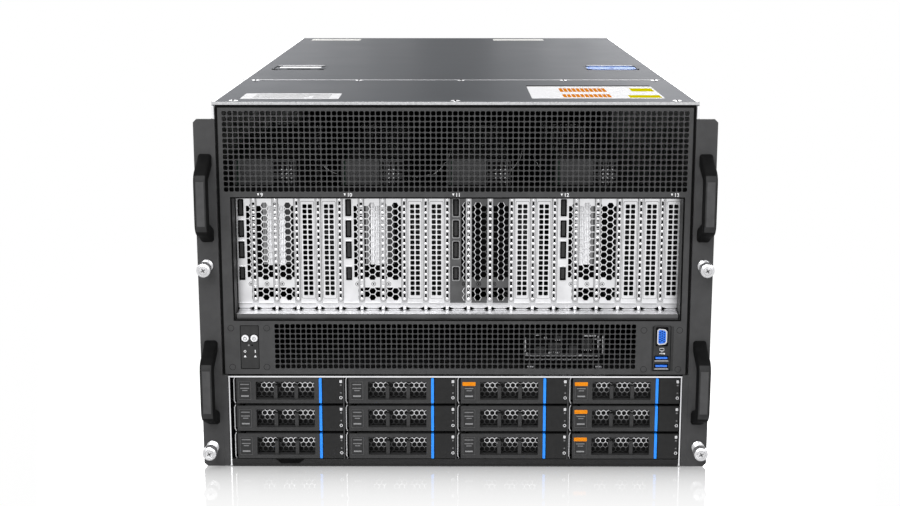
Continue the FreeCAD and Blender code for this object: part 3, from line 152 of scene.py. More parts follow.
class Form:
    """A mesh under construction. A face without a tone of its own has the main finish."""

    def __init__(self, main):
        self.main = main
        self.points = []
        self.faces = []
        self.tones = []

    def face(self, ids, tone=None, flip=False):
        kept = [i for n, i in enumerate(ids) if i != ids[n - 1]]
        if len(kept) > 2:
            self.faces.append(kept[::-1] if flip else kept)
            self.tones.append(self.main if tone is None else tone)

    def add(self, points):
        start = len(self.points)
        self.points.extend(points)
        return list(range(start, len(self.points)))

    def loft(self, rows, tone=None, flip=False):
        """A skin over closed rows of point numbers, open at both ends."""
        for low, high in zip(rows, rows[1:]):
            for i in range(len(low)):
                self.face([low[i - 1], low[i], high[i], high[i - 1]], tone, flip)

    def slab(self, outline, span, tone=None, holes=(), axis="y", rim=True, hole_tone=None):
        """A sheet with that outline and holes, from one end of the span to the other."""
        flip = axis == "y"
        loops = [wound(outline, 1)] + [wound(hole, -1) for hole in holes]
        flat = [point for loop in loops for point in loop]
        low, high = [self.add([spot(axis, *point, along) for point in flat]) for along in span]
        caps = [range(len(flat))]
        if holes:
            caps = tessellate_polygon([[Vector((a, b, 0)) for a, b in loop] for loop in loops])
            caps = [c if area([flat[i] for i in c]) > 0 else c[::-1] for c in caps]
        for cap in caps:
            self.face([high[i] for i in cap], tone, flip)
            self.face([low[i] for i in cap][::-1], tone, flip)
        first = 0
        for number, loop in enumerate(loops):
            part = slice(first, first + len(loop))
            if number or rim:
                side = tone if hole_tone is None or not number else hole_tone
                self.loft([low[part], high[part]], side, flip)
            first += len(loop)

    def block(self, x, y, z, tone=None):
        self.slab(rectangle(x, z), y, tone)

    def band(self, centre, outer, inner, span, tone=None, steps=32):
        """A flat ring."""
        hole = ring(*centre, inner, steps)
        self.slab(ring(*centre, outer, steps), span, tone, holes=[hole])

    def bar(self, centre, degrees, reach, half, span, tone=None):
        """A straight bar on a line through a centre, between two distances from it."""
        c, d = polar((0, 0), 1, degrees)
        corners = rectangle(reach, (-half, half))
        outline = moved([(p * c - q * d, p * d + q * c) for p, q in corners], *centre)
        self.slab(outline, span, tone)

    def turned(self, centre, profile, axis="y", steps=32, tone=None, knurl=0.0, knurled=()):
        """A turned form: pairs of place along the axis and radius, going up the axis."""
        rows = []
        for level, (along, radius) in enumerate(profile):
            points = []
            for step in range(steps if radius else 1):
                reach = radius - (knurl if level in knurled and step % 2 else 0.0)
                points.append(spot(axis, *polar(centre, reach, 360 * step / steps), along))
            rows.append(self.add(points) * (1 if radius else steps))
        self.loft(rows, tone, axis == "y")

    def blades(self, centre, count, radii, y, thick, sweep, lean=0, bend=1, rays=3, steps=4):
        """Twisted fan blades, which sweep by that many degrees over the span in Y."""
        for blade in range(count):
            rows = []
            for ray in range(rays):
                out = ray / (rays - 1)
                near, far = [], []
                for step in range(steps):
                    share = step / (steps - 1)
                    turn = 360 * blade / count + sweep * share + lean * out
                    x, z = polar(centre, radii[0] + (radii[1] - radii[0]) * out, turn)
                    place = y[0] + (y[1] - y[0]) * share ** bend
                    near.append((x, place, z))
                    far.append((x, place + thick, z))
                rows.append(self.add(near + far[::-1]))
            self.loft(rows)
            for row, order in ((rows[0], 1), (rows[-1], -1)):
                for i in range(steps - 1):
                    self.face([row[i + 1], row[i], row[-1 - i], row[-2 - i]][::order])

    def shifted(self, x, z):
        self.points = [(p + x, q, r + z) for p, q, r in self.points]
        return self

    def piece(self, name, body="chassis", bevel=0.0, smooth=None, replaces=None, slot=None):
        """Makes the finished piece, riding on a body."""
        mesh = bpy.data.meshes.new(name)
        points = [(x * MM, y * MM - HALF_DEPTH, z * MM) for x, y, z in self.points]
        mesh.from_pydata(points, [], self.faces)
        tones = list(dict.fromkeys([self.main] + self.tones))
        for tone in tones:
            mesh.materials.append(tone)
        mesh.polygons.foreach_set("material_index", [tones.index(tone) for tone in self.tones])
        if smooth is not None:
            mesh.shade_smooth()
            mesh.set_sharp_from_angle(angle=math.radians(smooth))
        thing = added(name, mesh)
        if bevel:
            soften(thing, bevel)
        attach(thing, body)
        if replaces:
            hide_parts(replaces)


# Materials
DRIFT = (0.3, 0.7)  # the part of the noise that the drift spreads over
COLD = 1.02  # how much bluer than neutral a grey is


def feed(tree, node, inputs):
    """Sets the inputs of a shader node: each is a value or another node's output."""
    for socket, value in inputs.items():
        if isinstance(value, bpy.types.NodeSocket):
            tree.links.new(value, node.inputs[socket])
        else:
            node.inputs[socket].default_value = value


def shade(tree, kind, output, inputs):
    """An output of a new shader node."""
    node = tree.nodes.new("ShaderNode" + kind)
    feed(tree, node, inputs)
    return node.outputs[output]


def finish(
    name, low, high, grain, rough, bump=(1800, 0.05),
    metalness=0.0, shine=0.5, tint=(1, 1, 1), relief=0.0001, stretch=(1, 1, 1)
):
    """A surface whose colour and roughness drift between two values, with a fine bump.

    A colour that is a single number is a grey. The bump is a grain and a strength.
    """
    material = bpy.data.materials.new(name)
    material.use_nodes = True
    tree = material.node_tree
    place = shade(tree, "TexCoord", "Object", {})
    place = shade(tree, "Mapping", "Vector", {"Vector": place, "Scale": stretch})

    def noise(scale, detail):
        looks = {"Vector": place, "Scale": scale, "Detail": detail}
        return shade(tree, "TexNoise", "Fac", looks)

    drift = noise(grain, 5.0)
    ramp = tree.nodes.new("ShaderNodeValToRGB")
    for element, position, colour in zip(ramp.color_ramp.elements, DRIFT, (low, high)):
        if isinstance(colour, float):
            colour = (colour, colour, colour * COLD)
        element.position = position
        element.color = (*colour, 1)
    feed(tree, ramp, {"Fac": drift})
    spread = {"Value": drift, "From Min": DRIFT[0], "From Max": DRIFT[1]}
    spread.update({"To Min": rough[0], "To Max": rough[1]})
    dents = {"Height": noise(bump[0], 3.0), "Strength": bump[1], "Distance": relief}
    feed(tree, tree.nodes["Principled BSDF"], {
        "Base Color": ramp.outputs["Color"],
        "Roughness": shade(tree, "MapRange", "Result", spread),
        "Normal": shade(tree, "Bump", "Normal", dents),
        "Metallic": metalness,
        "Specular IOR Level": shine,
        "Specular Tint": (*tint, 1),
    })
    return material


def metal(*looks, **more):
    return finish(*looks, metalness=1.0, **more)


def coat(name, low, high, rough, strength, shine):
    """A powder coat."""
    return finish(name, low, high, 140, rough, (2600, strength), shine=shine, relief=0.0002)


GALVANISED = metal(
    "galvanised", (0.174, 0.182, 0.19), (0.194, 0.203, 0.211), 16, (0.34, 0.38), (1200, 0.02),
    tint=(0.2, 0.2, 0.21)
)
SIDE_STEEL = metal("side_steel", 0.26, 0.28, 60, (0.39, 0.42), (1200, 0.03))
DARK_STEEL = metal("dark_steel", 0.05, 0.07, 40, (0.45, 0.55), (1200, 0.03))
LEDGE_STEEL = metal("ledge_steel", 0.1, 0.13, 40, (0.34, 0.44), (1200, 0.03))
CASE_STEEL = metal("case_steel", 0.42, 0.5, 120, (0.34, 0.44), (1400, 0.05))
PLATE = metal("plate_nickel", 0.5, 0.58, 60, (0.28, 0.38), (1400, 0.04))
BRIGHT = metal("bright_nickel", 0.8, 0.88, 60, (0.24, 0.34), (1400, 0.04))
BRACKET = metal("bracket_nickel", 0.72, 0.82, 80, (0.28, 0.38), (1400, 0.04))
DARK_BRACKET = metal("dark_nickel", 0.09, 0.12, 80, (0.3, 0.42), (1400, 0.04))
NICKEL = metal("satin_nickel", 0.62, 0.72, 300, (0.2, 0.3), (2000, 0.05))
KNOB = finish("knob_nickel", 0.6, 0.68, 300, (0.24, 0.34), (2000, 0.05), 0.8)
# A mid grey, used for print marks and for painted shade lines
MID_GREY = finish("seam_shade", 0.22, 0.27, 200, (0.5, 0.6), (1400, 0.04), 0.3)
SCREW = metal("zinc_screw", 0.5, 0.6, 400, (0.24, 0.34), (2500, 0.05))
MESH_STEEL = finish("mesh_steel", 0.78, 0.88, 300, (0.3, 0.4), (2000, 0.05), 0.5)
# Half-shaded and shaded copies of the mesh steel, for painted shade
HALF_SHADE_STEEL = metal("mesh_half_shade", 0.22, 0.3, 300, (0.3, 0.4), (2000, 0.05))
FULL_SHADE_STEEL = metal("mesh_shade", 0.05, 0.07, 300, (0.3, 0.4), (2000, 0.05))
FIN_STREAKS = (1, 0.05, 1)
# A near-white copy of the fins' metal: a painted highlight
FIN_HIGHLIGHT = finish(
    "fins_painted_highlight", 0.86, 0.92, 90, (0.4, 0.5), (1600, 0.06), 0.35, stretch=FIN_STREAKS
)
ALUMINIUM = metal("fin_aluminium", 0.74, 0.84, 90, (0.3, 0.42), (1600, 0.06), stretch=FIN_STREAKS)
GOLD = metal("contact_gold", (0.75, 0.52, 0.2), (0.82, 0.58, 0.24), 400, (0.26, 0.34), (2000, 0.04))

BLACK_COAT = coat("black_powder_coat", 0.044, 0.054, (0.5, 0.6), 0.12, 0.2)
# Lit, half-lit and shaded copies of the handles' black coat: painted light and shade, chosen by
# which way a face looks
HANDLE_SHADE = coat("handle_painted_shade", 0.006, 0.009, (0.56, 0.64), 0.1, 0.03)
HANDLE_HALF_LIGHT = coat("handle_bend", 0.024, 0.032, (0.46, 0.54), 0.1, 0.1)
HANDLE_LIGHT = coat("handle_grip", 0.058, 0.072, (0.46, 0.54), 0.1, 0.1)
BLACK_PLASTIC = finish("black_plastic", 0.018, 0.026, 200, (0.42, 0.52), (3200, 0.1), shine=0.3)
TRAY_PLASTIC = finish("tray_plastic", 0.03, 0.038, 200, (0.44, 0.54), (3200, 0.1), shine=0.22)
PLATE_PLASTIC = finish("plate_plastic", 0.012, 0.016, 200, (0.36, 0.44), (3200, 0.05), shine=0.2)
# Near-black, for dark parts and recesses and for painted shade
NEAR_BLACK = finish("dark_recess", 0.003, 0.005, 200, (0.7, 0.8), (1500, 0.05), shine=0.03)
SHROUD = finish("card_shroud", 0.045, 0.06, 160, (0.45, 0.55), (1800, 0.08), 0.6)
PALE_GREY = finish("pale_grey", 0.55, 0.62, 200, (0.34, 0.42), (2600, 0.06))
WHITE = finish("white_plastic", 0.78, 0.84, 300, (0.22, 0.3), (3200, 0.04))
PRINT = finish("white_print", 0.72, 0.8, 900, (0.5, 0.6), (3200, 0.05))
# A dark grey for print, and for painted shade in recesses
GREY_PRINT_AND_SHADE = finish("grey_print_and_shade", 0.14, 0.18, 300, (0.5, 0.6))
FAINT_PRINT = finish("faint_print", 0.06, 0.08, 300, (0.5, 0.6))
PAPER = finish("paper_label", 0.78, 0.86, 260, (0.5, 0.6), (1800, 0.06), shine=0.1)
GREY_LABEL = finish("grey_label", 0.026, 0.032, 300, (0.44, 0.52), shine=0.15)

BLUE = finish(
    "blue_plastic", (0.006, 0.24, 0.92), (0.01, 0.28, 0.98), 300, (0.34, 0.42), (3200, 0.06)
)
PORT_BLUE = finish(
    "port_blue", (0.012, 0.15, 0.72), (0.02, 0.18, 0.8), 300, (0.34, 0.42), (3200, 0.06)
)
LATCH_BLUE = finish(
    "latch_blue", (0.16, 0.33, 0.9), (0.19, 0.37, 0.95), 200, (0.4, 0.5), (2600, 0.06), shine=0.15
)
ORANGE = finish("orange_label", (0.7, 0.22, 0.01), (0.76, 0.25, 0.015), 300, (0.5, 0.6), shine=0.0)
YELLOW = finish("yellow_label", (0.62, 0.55, 0.0), (0.7, 0.62, 0.002), 300, (0.5, 0.6), shine=0.0)
BOARD = finish(
    "solder_mask", (0.004, 0.013, 0.008), (0.007, 0.02, 0.012), 600, (0.4, 0.5), (4000, 0.1),
    shine=0.1
)
FOIL = finish("foil_strip", (0.8, 0.79, 0.75), (0.86, 0.85, 0.81), 300, (0.5, 0.6))
GREEN_LIGHT = finish(
    "green_light", (0.06, 0.62, 0.14), (0.1, 0.7, 0.18), 400, (0.2, 0.3), (2000, 0.04)
)


# Carried-over nodes whose shape is right

def dress(material, edge, *nodes):
    """Gives carried-over CAD nodes their material, and rounds their edges."""
    for node in nodes:
        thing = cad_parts[node]
        thing.data.materials.clear()
        thing.data.materials.append(material)
        if edge:
            soften(thing, edge)


dress(SIDE_STEEL, 0.4, "chassis_shell")
dress(SIDE_STEEL, 0.2, "rear_panel")
dress(SIDE_STEEL, 0, "lower_shelf")
dress(GALVANISED, 0.4, "front_cover", "rear_cover")
dress(GALVANISED, 1, "cover_latch_left")
dress(LATCH_BLUE, 1, "cover_latch_right")
dress(BLACK_COAT, 0.3, "front_panel")
dress(BLACK_COAT, 0.6, "rack_ears")
dress(LEDGE_STEEL, 0.3, "slot_ledge")
dress(DARK_STEEL, 0, "gpu_shelf", "drive_cage")
dress(BLACK_PLASTIC, 0.4, "front_io_modules", "fan_frames")
dress(BOARD, 0, "circuit_boards", "motherboard", "memory_modules")
dress(ALUMINIUM, 0, "cpu_heatsinks")
dress(CASE_STEEL, 0.4, *[f"psu_{number}" for number in range(1, 5)])
dress(PLATE_PLASTIC, 0.2, *[f"drive_tray_{number:02d}" for number in range(1, 13)])


# Grilles of rounded square holes
GRILLE_SHEET = (0, 0.9)
GRILLE_HOLE = 4.3


def grille(name, half, z, columns, rows, inset=(0, 0)):
    """A field of square holes with round corners, inside a plain border."""
    inner_x = within((-half, half), inset[0])
    inner_z = within(z, inset[1])
    pitch = (inner_x[1] - inner_x[0]) / columns
    rise = (inner_z[1] - inner_z[0]) / rows
    cell = rectangle((0, pitch), (0, rise))
    hole = rounded(about(pitch / 2, GRILLE_HOLE / 2), about(rise / 2, GRILLE_HOLE / 2), 1.2, 2)
    form = Form(BLACK_COAT)
    for place in grid((inner_x[0], inner_z[0]), (pitch, rise), (columns, rows)):
        holes = [moved(hole, *place)]
        form.slab(moved(cell, *place), GRILLE_SHEET, holes=holes, rim=False)
    if inset[0]:
        border = [rectangle(inner_x, inner_z)]
        form.slab(rectangle((-half, half), z), GRILLE_SHEET, holes=border, rim=False)
    form.piece(name, replaces="front_grilles", slot="black_paint")


grille("upper_grille", 215.05, (267, 342.9), 85, 15)
grille("lower_grille", 172.04, (96.3, 141.8), 68, 9, (0.85, 0.65))


# Expansion slots
SLOT_SHEET = (20, 21.2)
SLOT_LEFT = -210.86
SLOT_PITCH = 20.32
SLOT_COUNT = 21
SLOT_Z = (156.6, 262.5)
TIE_Z = (149.2, 153.2)
RIB_FOOT = 160.8
RIB_STEP = 5.96
COVER_SHEET = (SLOT_SHEET[1], 22.2)
COVER_Z = (155.2, 266.8)
FLANGE = ((22.2, 33.2), (265.8, 266.8))
CARD_FIRST_SLOTS = (0, 5, 10, 15)
CARD_SLOTS = 3
DARK_CARD = 2


def slot_edge(number):
    return SLOT_LEFT + SLOT_PITCH * number


def rib_outline(x, half):
    """A straight rib with a round foot."""
    foot = [polar((x, RIB_FOOT), half, 180 + 180 * step / 8) for step in range(9)]
    return [(x + half, SLOT_Z[1]), (x - half, SLOT_Z[1])] + foot


def slot_frame():
    """The bright slot sheet: ribs with a chain of holes, and tie slots along its foot."""
    form = Form(BRIGHT)
    left, right = wide = (-219.7, 219.7)
    head = 268
    form.block(wide, SLOT_SHEET, (143.5, TIE_Z[0]), PLATE)
    form.block(wide, SLOT_SHEET, (TIE_Z[1], SLOT_Z[0]), PLATE)
    form.block(wide, SLOT_SHEET, (SLOT_Z[1], head), NEAR_BLACK)
    form.block(wide, (SLOT_SHEET[1], 36.2), (266.8, head), NEAR_BLACK)
    for end in ((left, slot_edge(0)), (slot_edge(SLOT_COUNT), right)):
        form.block(end, SLOT_SHEET, TIE_Z, PLATE)
        form.block(end, SLOT_SHEET, SLOT_Z)
    for cheek in ((left, -206.8), (212.8, right)):
        form.block(cheek, (18.8, 19.4), (144, head), NEAR_BLACK)
    tie = [(1.5, 149.5), (6, 150.9), (14.3, 150.9), (18.8, 149.5)]
    tie += [(18.8, 153), (14.3, 151.5), (6, 151.5), (1.5, 153)]
    for slot in range(SLOT_COUNT):
        x = (slot_edge(slot), slot_edge(slot + 1))
        holes = [moved(tie, x[0], 0)]
        form.slab(rectangle(x, TIE_Z), SLOT_SHEET, PLATE, holes=holes, rim=False)
        form.block(within(x, 3.4), (19.94, 20.02), (155.4, 155.8), MID_GREY)
    hole = rounded((-1.3, 1.3), (-2.3, 2.3), 0.7, 2)
    for edge in range(SLOT_COUNT + 1):
        x = slot_edge(edge)
        chain = [moved(hole, x, RIB_FOOT + RIB_STEP * (row + 0.5)) for row in range(16)]
        form.slab(rib_outline(x, 2.35), (19.4, SLOT_SHEET[1]), PLATE, holes=chain)
        form.block(about(x, 2.8), SLOT_SHEET, (SLOT_Z[0], RIB_FOOT - 0.2), PLATE)
        # A grey outline just behind each rib is painted shadow along its edges
        form.slab(rib_outline(x, 2.9), (19.75, 19.98), MID_GREY, holes=chain)
        # Small domes in the brighter nickel between the holes carry a painted highlight on the
        # rib's bridges
        for row in range(17):
            bump = [(19.1, 0), (19.2, 0.7), (19.4, 1.2)]
            form.turned((x, RIB_FOOT + RIB_STEP * row), bump, steps=12)
        form.turned((x, 151.9), [(19.1, 0), (19.2, 1.1), (19.5, 1.6), (20, 1.9)], steps=16)
    form.piece("slot_sheet", replaces="slot_frame", slot="bright_steel")


def slot_covers():
    """Blank covers with a raised field and two columns of square holes."""
    form = Form(BRACKET)
    taken = [first + step for first in CARD_FIRST_SLOTS for step in range(CARD_SLOTS)]
    hole = rounded((-2, 2), (-2, 2), 0.8, 2)
    back = COVER_SHEET[1]
    for slot in range(SLOT_COUNT):
        if slot in taken:
            continue
        middle = slot_edge(slot) + SLOT_PITCH / 2
        places = grid((middle - 2.545, 165.8), (5.09, 4.953), (2, 18))
        holes = [moved(hole, *place) for place in places]
        field = rounded(about(middle, 6.05), (160.9, 254.6), 1)
        line = rounded(about(middle, 6.4), (160.55, 254.95), 1.2)
        form.slab(rectangle(about(middle, 9.2), COVER_Z), COVER_SHEET, holes=[line])
        # The grey line round the raised field is painted shade along its edge
        form.slab(line, (21.7, back), MID_GREY, holes=[field])
        form.slab(field, (20.9, back), holes=holes)
        form.block(about(middle, 9.2), *FLANGE, NEAR_BLACK)
    form.piece("slot_blanks", replaces="slot_covers", slot="bright_steel")


HEX_RADIUS = 3.2
HEX_COLUMN = 5.5
HEX_ROW = 6.351
HEX_TOP = 250.8
HEX_FOOT = 168
LEAST_HOLE = 6  # square millimetres
PORT_SPANS = ((178, 192.5), (199, 217.2), (219.4, 237.6), (239.8, 258))


def hex_holes(x, z, first_x, first_z):
    """Holes of a field of six-sided holes, cut off flat at its edges."""
    holes = []
    hexagon = ring(0, 0, HEX_RADIUS, 6)
    left, right = ((edge - first_x) / HEX_COLUMN for edge in x)
    for column in range(math.floor(left), math.ceil(right) + 1):
        drop = HEX_ROW / 2 if column % 2 else 0
        for row in range(-1, math.ceil((z[1] - z[0]) / HEX_ROW) + 2):
            centre = (first_x + column * HEX_COLUMN, first_z - drop - row * HEX_ROW)
            hole = clipped(moved(hexagon, *centre), x, z, LEAST_HOLE)
            if hole and z[0] < centre[1] < z[1]:
                holes.append(hole)
    return holes


def highlight_walls(form, x):
    """Painted highlights on the walls on both sides of one column of six-sided holes."""
    rows = [HEX_TOP - HEX_ROW * row for row in range(12)] + [HEX_FOOT, HEX_FOOT - HEX_ROW]
    inner = [polar((0, 0), HEX_RADIUS + 0.05, turn) for turn in (-60, 0, 60)]
    outer = [polar((0, 0), HEX_RADIUS + 0.55, turn) for turn in (60, 0, -60)]
    for z in rows:
        for side in (-1, 1):
            bend = moved([(side * a, b) for a, b in inner + outer], x, z)
            form.slab(bend, (21, SLOT_SHEET[1]), BRIGHT)


def card_fronts():
    """Card brackets with six-sided holes, four ports and small screws."""
    form = Form(BRACKET)
    for number, first in enumerate(CARD_FIRST_SLOTS):
        dark = number == DARK_CARD
        tone = DARK_BRACKET if dark else BRACKET
        left = slot_edge(first)
        x = within((left, left + CARD_SLOTS * SLOT_PITCH), 0.96)
        column = left + 1.5 * SLOT_PITCH - (1.45 if dark else 0)
        right = x[1] - 1.6
        holes = hex_holes((left + 13.2, right), (178.8, 253.8), column, HEX_TOP)
        holes += hex_holes((left + 17, right), (158.7, 171.4), column, HEX_FOOT)
        port_x = (left + 4.6, left + 12)
        outlines = [rounded(port_x, z, 1.3) for z in PORT_SPANS]
        form.slab(rectangle(x, COVER_Z), COVER_SHEET, tone, holes=holes + outlines)
        form.block(x, *FLANGE, NEAR_BLACK)
        for outline, z in zip(outlines, PORT_SPANS):
            inside = rounded(within(port_x, 0.8), within(z, 0.8), 0.8)
            form.slab(outline, (20.2, 30.2), MID_GREY if dark else NICKEL, holes=[inside])
            form.slab(inside, (23.4, 30.2), NEAR_BLACK)
            form.block(within(port_x, 2.2), (20.9, 23.4), within(z, 2.4), GREY_LABEL)
        for screw_x in (left + 16.2, column + 1, column + 15.5):
            place = (screw_x, 174.9)
            form.turned(place, [(20.9, 0), (20.9, 1.6), (21.2, 1.8)], steps=20, tone=tone)
            form.band(place, 2.2, 1.6, (21.1, 21.2), NEAR_BLACK if dark else GREY_PRINT_AND_SHADE, 20)
            form.slab(ring(*place, 0.85, 12), (20.85, 20.92), NEAR_BLACK)
        if dark:
            # Painted highlights on the walls of three columns of holes of the dark card
            for step in (-2, 0, 4):
                highlight_walls(form, column + step * HEX_COLUMN)
    form.piece("card_brackets", replaces="gpu_brackets", slot="bright_steel")


FIN_PITCH = 1.6
FIN_Z = (193.6, 261)
CARD_END = 334.2
CROWN_Z = (266, 291)
CROWN_PITCH = (4.4, 4)


def cooling_fins(form, left):
    """The cooling fins behind a bracket, toned as painted light: a run of fins in a painted
    highlight, then grey and dark ones in painted shade at the ends.
    """
    start = left + 33.6 - 0.0417 * (left - SLOT_LEFT)
    # The painted highlight runs over more fins on the cards left of the middle
    first, bright = (-3, 10) if left < 0 else (0, 8)
    for fin in range(first, 14):
        x = start + fin * FIN_PITCH
        tone = FIN_HIGHLIGHT if 0 <= fin < bright else HALF_SHADE_STEEL if fin < 10 else DARK_STEEL
        form.block((x, x + 1.15), (23, 38), FIN_Z, tone)
    # A sheet in the painted highlight behind the highlighted fins
    form.block((start, start + FIN_PITCH * bright - 0.4), (26, 26.5), FIN_Z, FIN_HIGHLIGHT)


def cards():
    """Graphics cards: board, shroud with two fan rims, crown with a mesh, and cooling fins."""
    form = Form(BOARD)
    outline = [(22.6, 163), (61, 163), (61, 151), (148, 151), (148, 163), (CARD_END, 163)]
    outline += [(CARD_END, 291), (36.6, 291), (36.6, 265.4), (22.6, 265.4)]
    for number, first in enumerate(CARD_FIRST_SLOTS):
        left = slot_edge(first)
        board = left + 3.4
        face = board + 1.6
        form.slab(outline, (board, face), axis="x")
        form.slab(rectangle((62, 147), (151.4, 156)), (face, face + 0.1), GOLD, axis="x")
        shroud = (face, face + 54)
        form.block(shroud, (60, CARD_END), (163, 289), BLACK_PLASTIC)
        form.block(within(shroud, 1), (38, 60), (163, 262.4), NEAR_BLACK)
        form.block((left + 1, left + 37), (36.8, 60), CROWN_Z, SHROUD)
        mesh = (left + 37.6, left + 60)
        form.block(mesh, (37.8, 60), CROWN_Z, NEAR_BLACK)
        places = grid((mesh[0] + 2.4, 268.4), CROWN_PITCH, (5, 6))
        holes = [rounded(about(x, 1.6), about(z, 1.5), 0.6, 2) for x, z in places]
        form.slab(rectangle(mesh, CROWN_Z), (37, 37.5), DARK_STEEL, holes=holes)
        for place in grid((left + 46.2, 270.4), CROWN_PITCH, (3, 5)):
            form.turned(place, [(36.6, 0), (36.7, 0.6), (37, 1)], steps=10, tone=NICKEL)
        for y in (130, 250):
            low, high = shroud[1], shroud[1] + 0.2
            rim = [(low, 46), (high, 46), (high, 40), (low, 39)]
            form.turned((y, 226), rim, "x", 40, BLACK_PLASTIC)
        if number != DARK_CARD:
            cooling_fins(form, left)
    form.piece("graphics_cards", replaces="gpu_cards", slot="card_shroud")


slot_frame()
slot_covers()
card_fronts()
cards()


# Drive trays: the shapes are those of the first tray
CELL_WIDTH = 106.9
CELL_HEIGHT = 27.6
TRAY_LEFT = -208.4
TRAY_Z = (62.8, 87.7)
ORANGE_TRAYS = (3, 4, 8, 12)
MESH_PITCH = 4.9
MESH_CELL = MESH_PITCH / math.sqrt(3)
MESH_HOLE = 2.4
LEAST_CELL = 0.3  # square millimetres
# Spans of the panes, from the tray's left edge, that get painted light; the left part of each pane
# keeps the painted shade
LIT_SPANS = ((23.2, 37), (43.2, 57), (59.2, 75))
# Row by row from the top: painted light, then half shade, then shade
ROW_TONES = (MESH_STEEL, MESH_STEEL, HALF_SHADE_STEEL, FULL_SHADE_STEEL)
tray_x = measured_from(TRAY_LEFT)


def honeycomb(form, x, z):
    """A mesh of six-sided cells, toned as painted light and shade: bright on the top two rows of
    the lit part of each pane, half shaded on the next row and shaded below it, and shaded all down
    the left part of each pane.
    """
    rise = MESH_PITCH * math.sqrt(3) / 2
    margin = 0.3
    for row in range(math.ceil((z[1] - z[0]) / rise) + 1):
        shift = MESH_PITCH / 2 if row % 2 else 0
        for column in range(-1, math.ceil((x[1] - x[0]) / MESH_PITCH) + 1):
            centre = (x[0] + shift + column * MESH_PITCH, z[1] - 1.6 - row * rise)
            outer, inner = [ring(*centre, radius, 6, 30) for radius in (MESH_CELL, MESH_HOLE)]
            cell = clipped(outer, x, z, LEAST_CELL)
            hole = clipped(inner, within(x, margin), within(z, margin), LEAST_CELL)
            lit_part = any(low < centre[0] - TRAY_LEFT < high for low, high in LIT_SPANS)
            tone = ROW_TONES[min(row, 3)] if lit_part else FULL_SHADE_STEEL
            if cell:
                form.slab(cell, (8, 8.4), tone, holes=[hole] if hole else [])


def tray_front():
    """The metal mesh behind the lever, a springy contact strip, and the marks at a tray's end."""
    form = Form(MESH_STEEL)
    x = TRAY_LEFT - 3.2
    low, high = TRAY_Z[0] - 1.3, TRAY_Z[1] + 0.6
    line = [(x + 1.1, high - 0.4), (x, high - 3), (x, low + 3), (x + 1.1, low + 0.4)]
    form.slab(moved(line, 0.75, 0) + line[::-1], (3, 3.5), SCREW)
    honeycomb(form, tray_x(18, 74.4), (66.2, 84.2))
    x = TRAY_LEFT + 99.4
    marks = (
        (1.2, (83.1, 85.9), 0.4, PALE_GREY),
        (0.8, (80.2, 81.6), 0.3, GREY_PRINT_AND_SHADE),
        (0.7, (72.6, 73.8), 0.3, GREY_PRINT_AND_SHADE),
    )
    for half, z, radius, tone in marks:
        form.slab(rounded(about(x, half), z, radius, 2), (-0.08, 0.02), tone)
    form.band((x, 68.4), 1.5, 0.85, (-0.1, 0.02), PALE_GREY, 20)
    return form


def tray_lever(orange):
    """The swing lever: a window with two posts, a sunk label and a coloured grip edge."""
    form = Form(TRAY_PLASTIC)
    depth = 7
    end = 78.4
    window = rounded(tray_x(18.4, 74), (66.4, 84.1), 0.7, 2)
    well = rounded(tray_x(1.5, 14.1), (65.8, 84.6), 0.8, 2)
    form.slab(rounded(tray_x(0, end), TRAY_Z, 0.9, 3), (0, 0.4), holes=[window, well])
    form.slab(rectangle(tray_x(7.5, end), TRAY_Z), (0.4, depth), holes=[window])
    form.block(tray_x(0, 7.5), (0.4, 1.2), TRAY_Z)
    form.block(tray_x(0, 7.5), (1.2, depth), (65.1, 85.4))
    for x in (35.2, 54.9):
        form.block(tray_x(x, x + 3.4), (2.2, depth), (66.4, 79.6))
    label_x, label_z = tray_x(1.9, 13.7), (66.2, 84.2)
    label = rounded(label_x, label_z, 0.5, 2)
    border = rounded(within(label_x, 0.4), within(label_z, 0.4), 0.5, 2)
    form.slab(label, (0.15, 0.4), GREY_LABEL)
    form.slab(label, (0.1, 0.15), FAINT_PRINT, holes=[border])
    ink = (0.12, 0.15)
    for z, low, high in ((81.4, 3.6, 12), (77.6, 3.6, 12), (75.4, 5.4, 10.4)):
        form.block(tray_x(low, high), ink, about(z, 0.45), GREY_PRINT_AND_SHADE)
    form.block(tray_x(4.2, 11.6), ink, (69.2, 70.6), MID_GREY)
    if orange:
        form.slab(rounded(tray_x(1.6, 14), (80.2, 84), 0.5, 2), (0.05, 0.3), ORANGE)
    grip = rounded(tray_x(end + 0.2, end + 2.8), TRAY_Z, 0.6, 3)
    form.slab(grip, (0, depth), BLUE)
    return form


for number in range(1, 13):
    row, column = divmod(number - 1, 4)
    place = (CELL_WIDTH * column, -CELL_HEIGHT * row)
    front = tray_front().shifted(*place)
    front.piece(f"tray_front_{number:02d}", f"drive_tray_{number:02d}")
    node = f"tray_lever_{number:02d}"
    lever = tray_lever(number in ORANGE_TRAYS).shifted(*place)
    lever.piece(f"lever_{number:02d}", node, replaces=node, slot="tray_plastic")

# Bright strips on the cage's outer front edges and along the shelf's front edge: painted highlights
cage_edge_highlights = Form(BRIGHT)
for x in both_sides(214.6, 215.7):
    cage_edge_highlights.block(x, (-0.1, 0), (0.6, 88.4))
cage_edge_highlights.block((-215.7, 215.7), (-0.1, 0), (88.5, 89.8))
cage_edge_highlights.piece("cage_edge_highlights", slot="bright_steel")


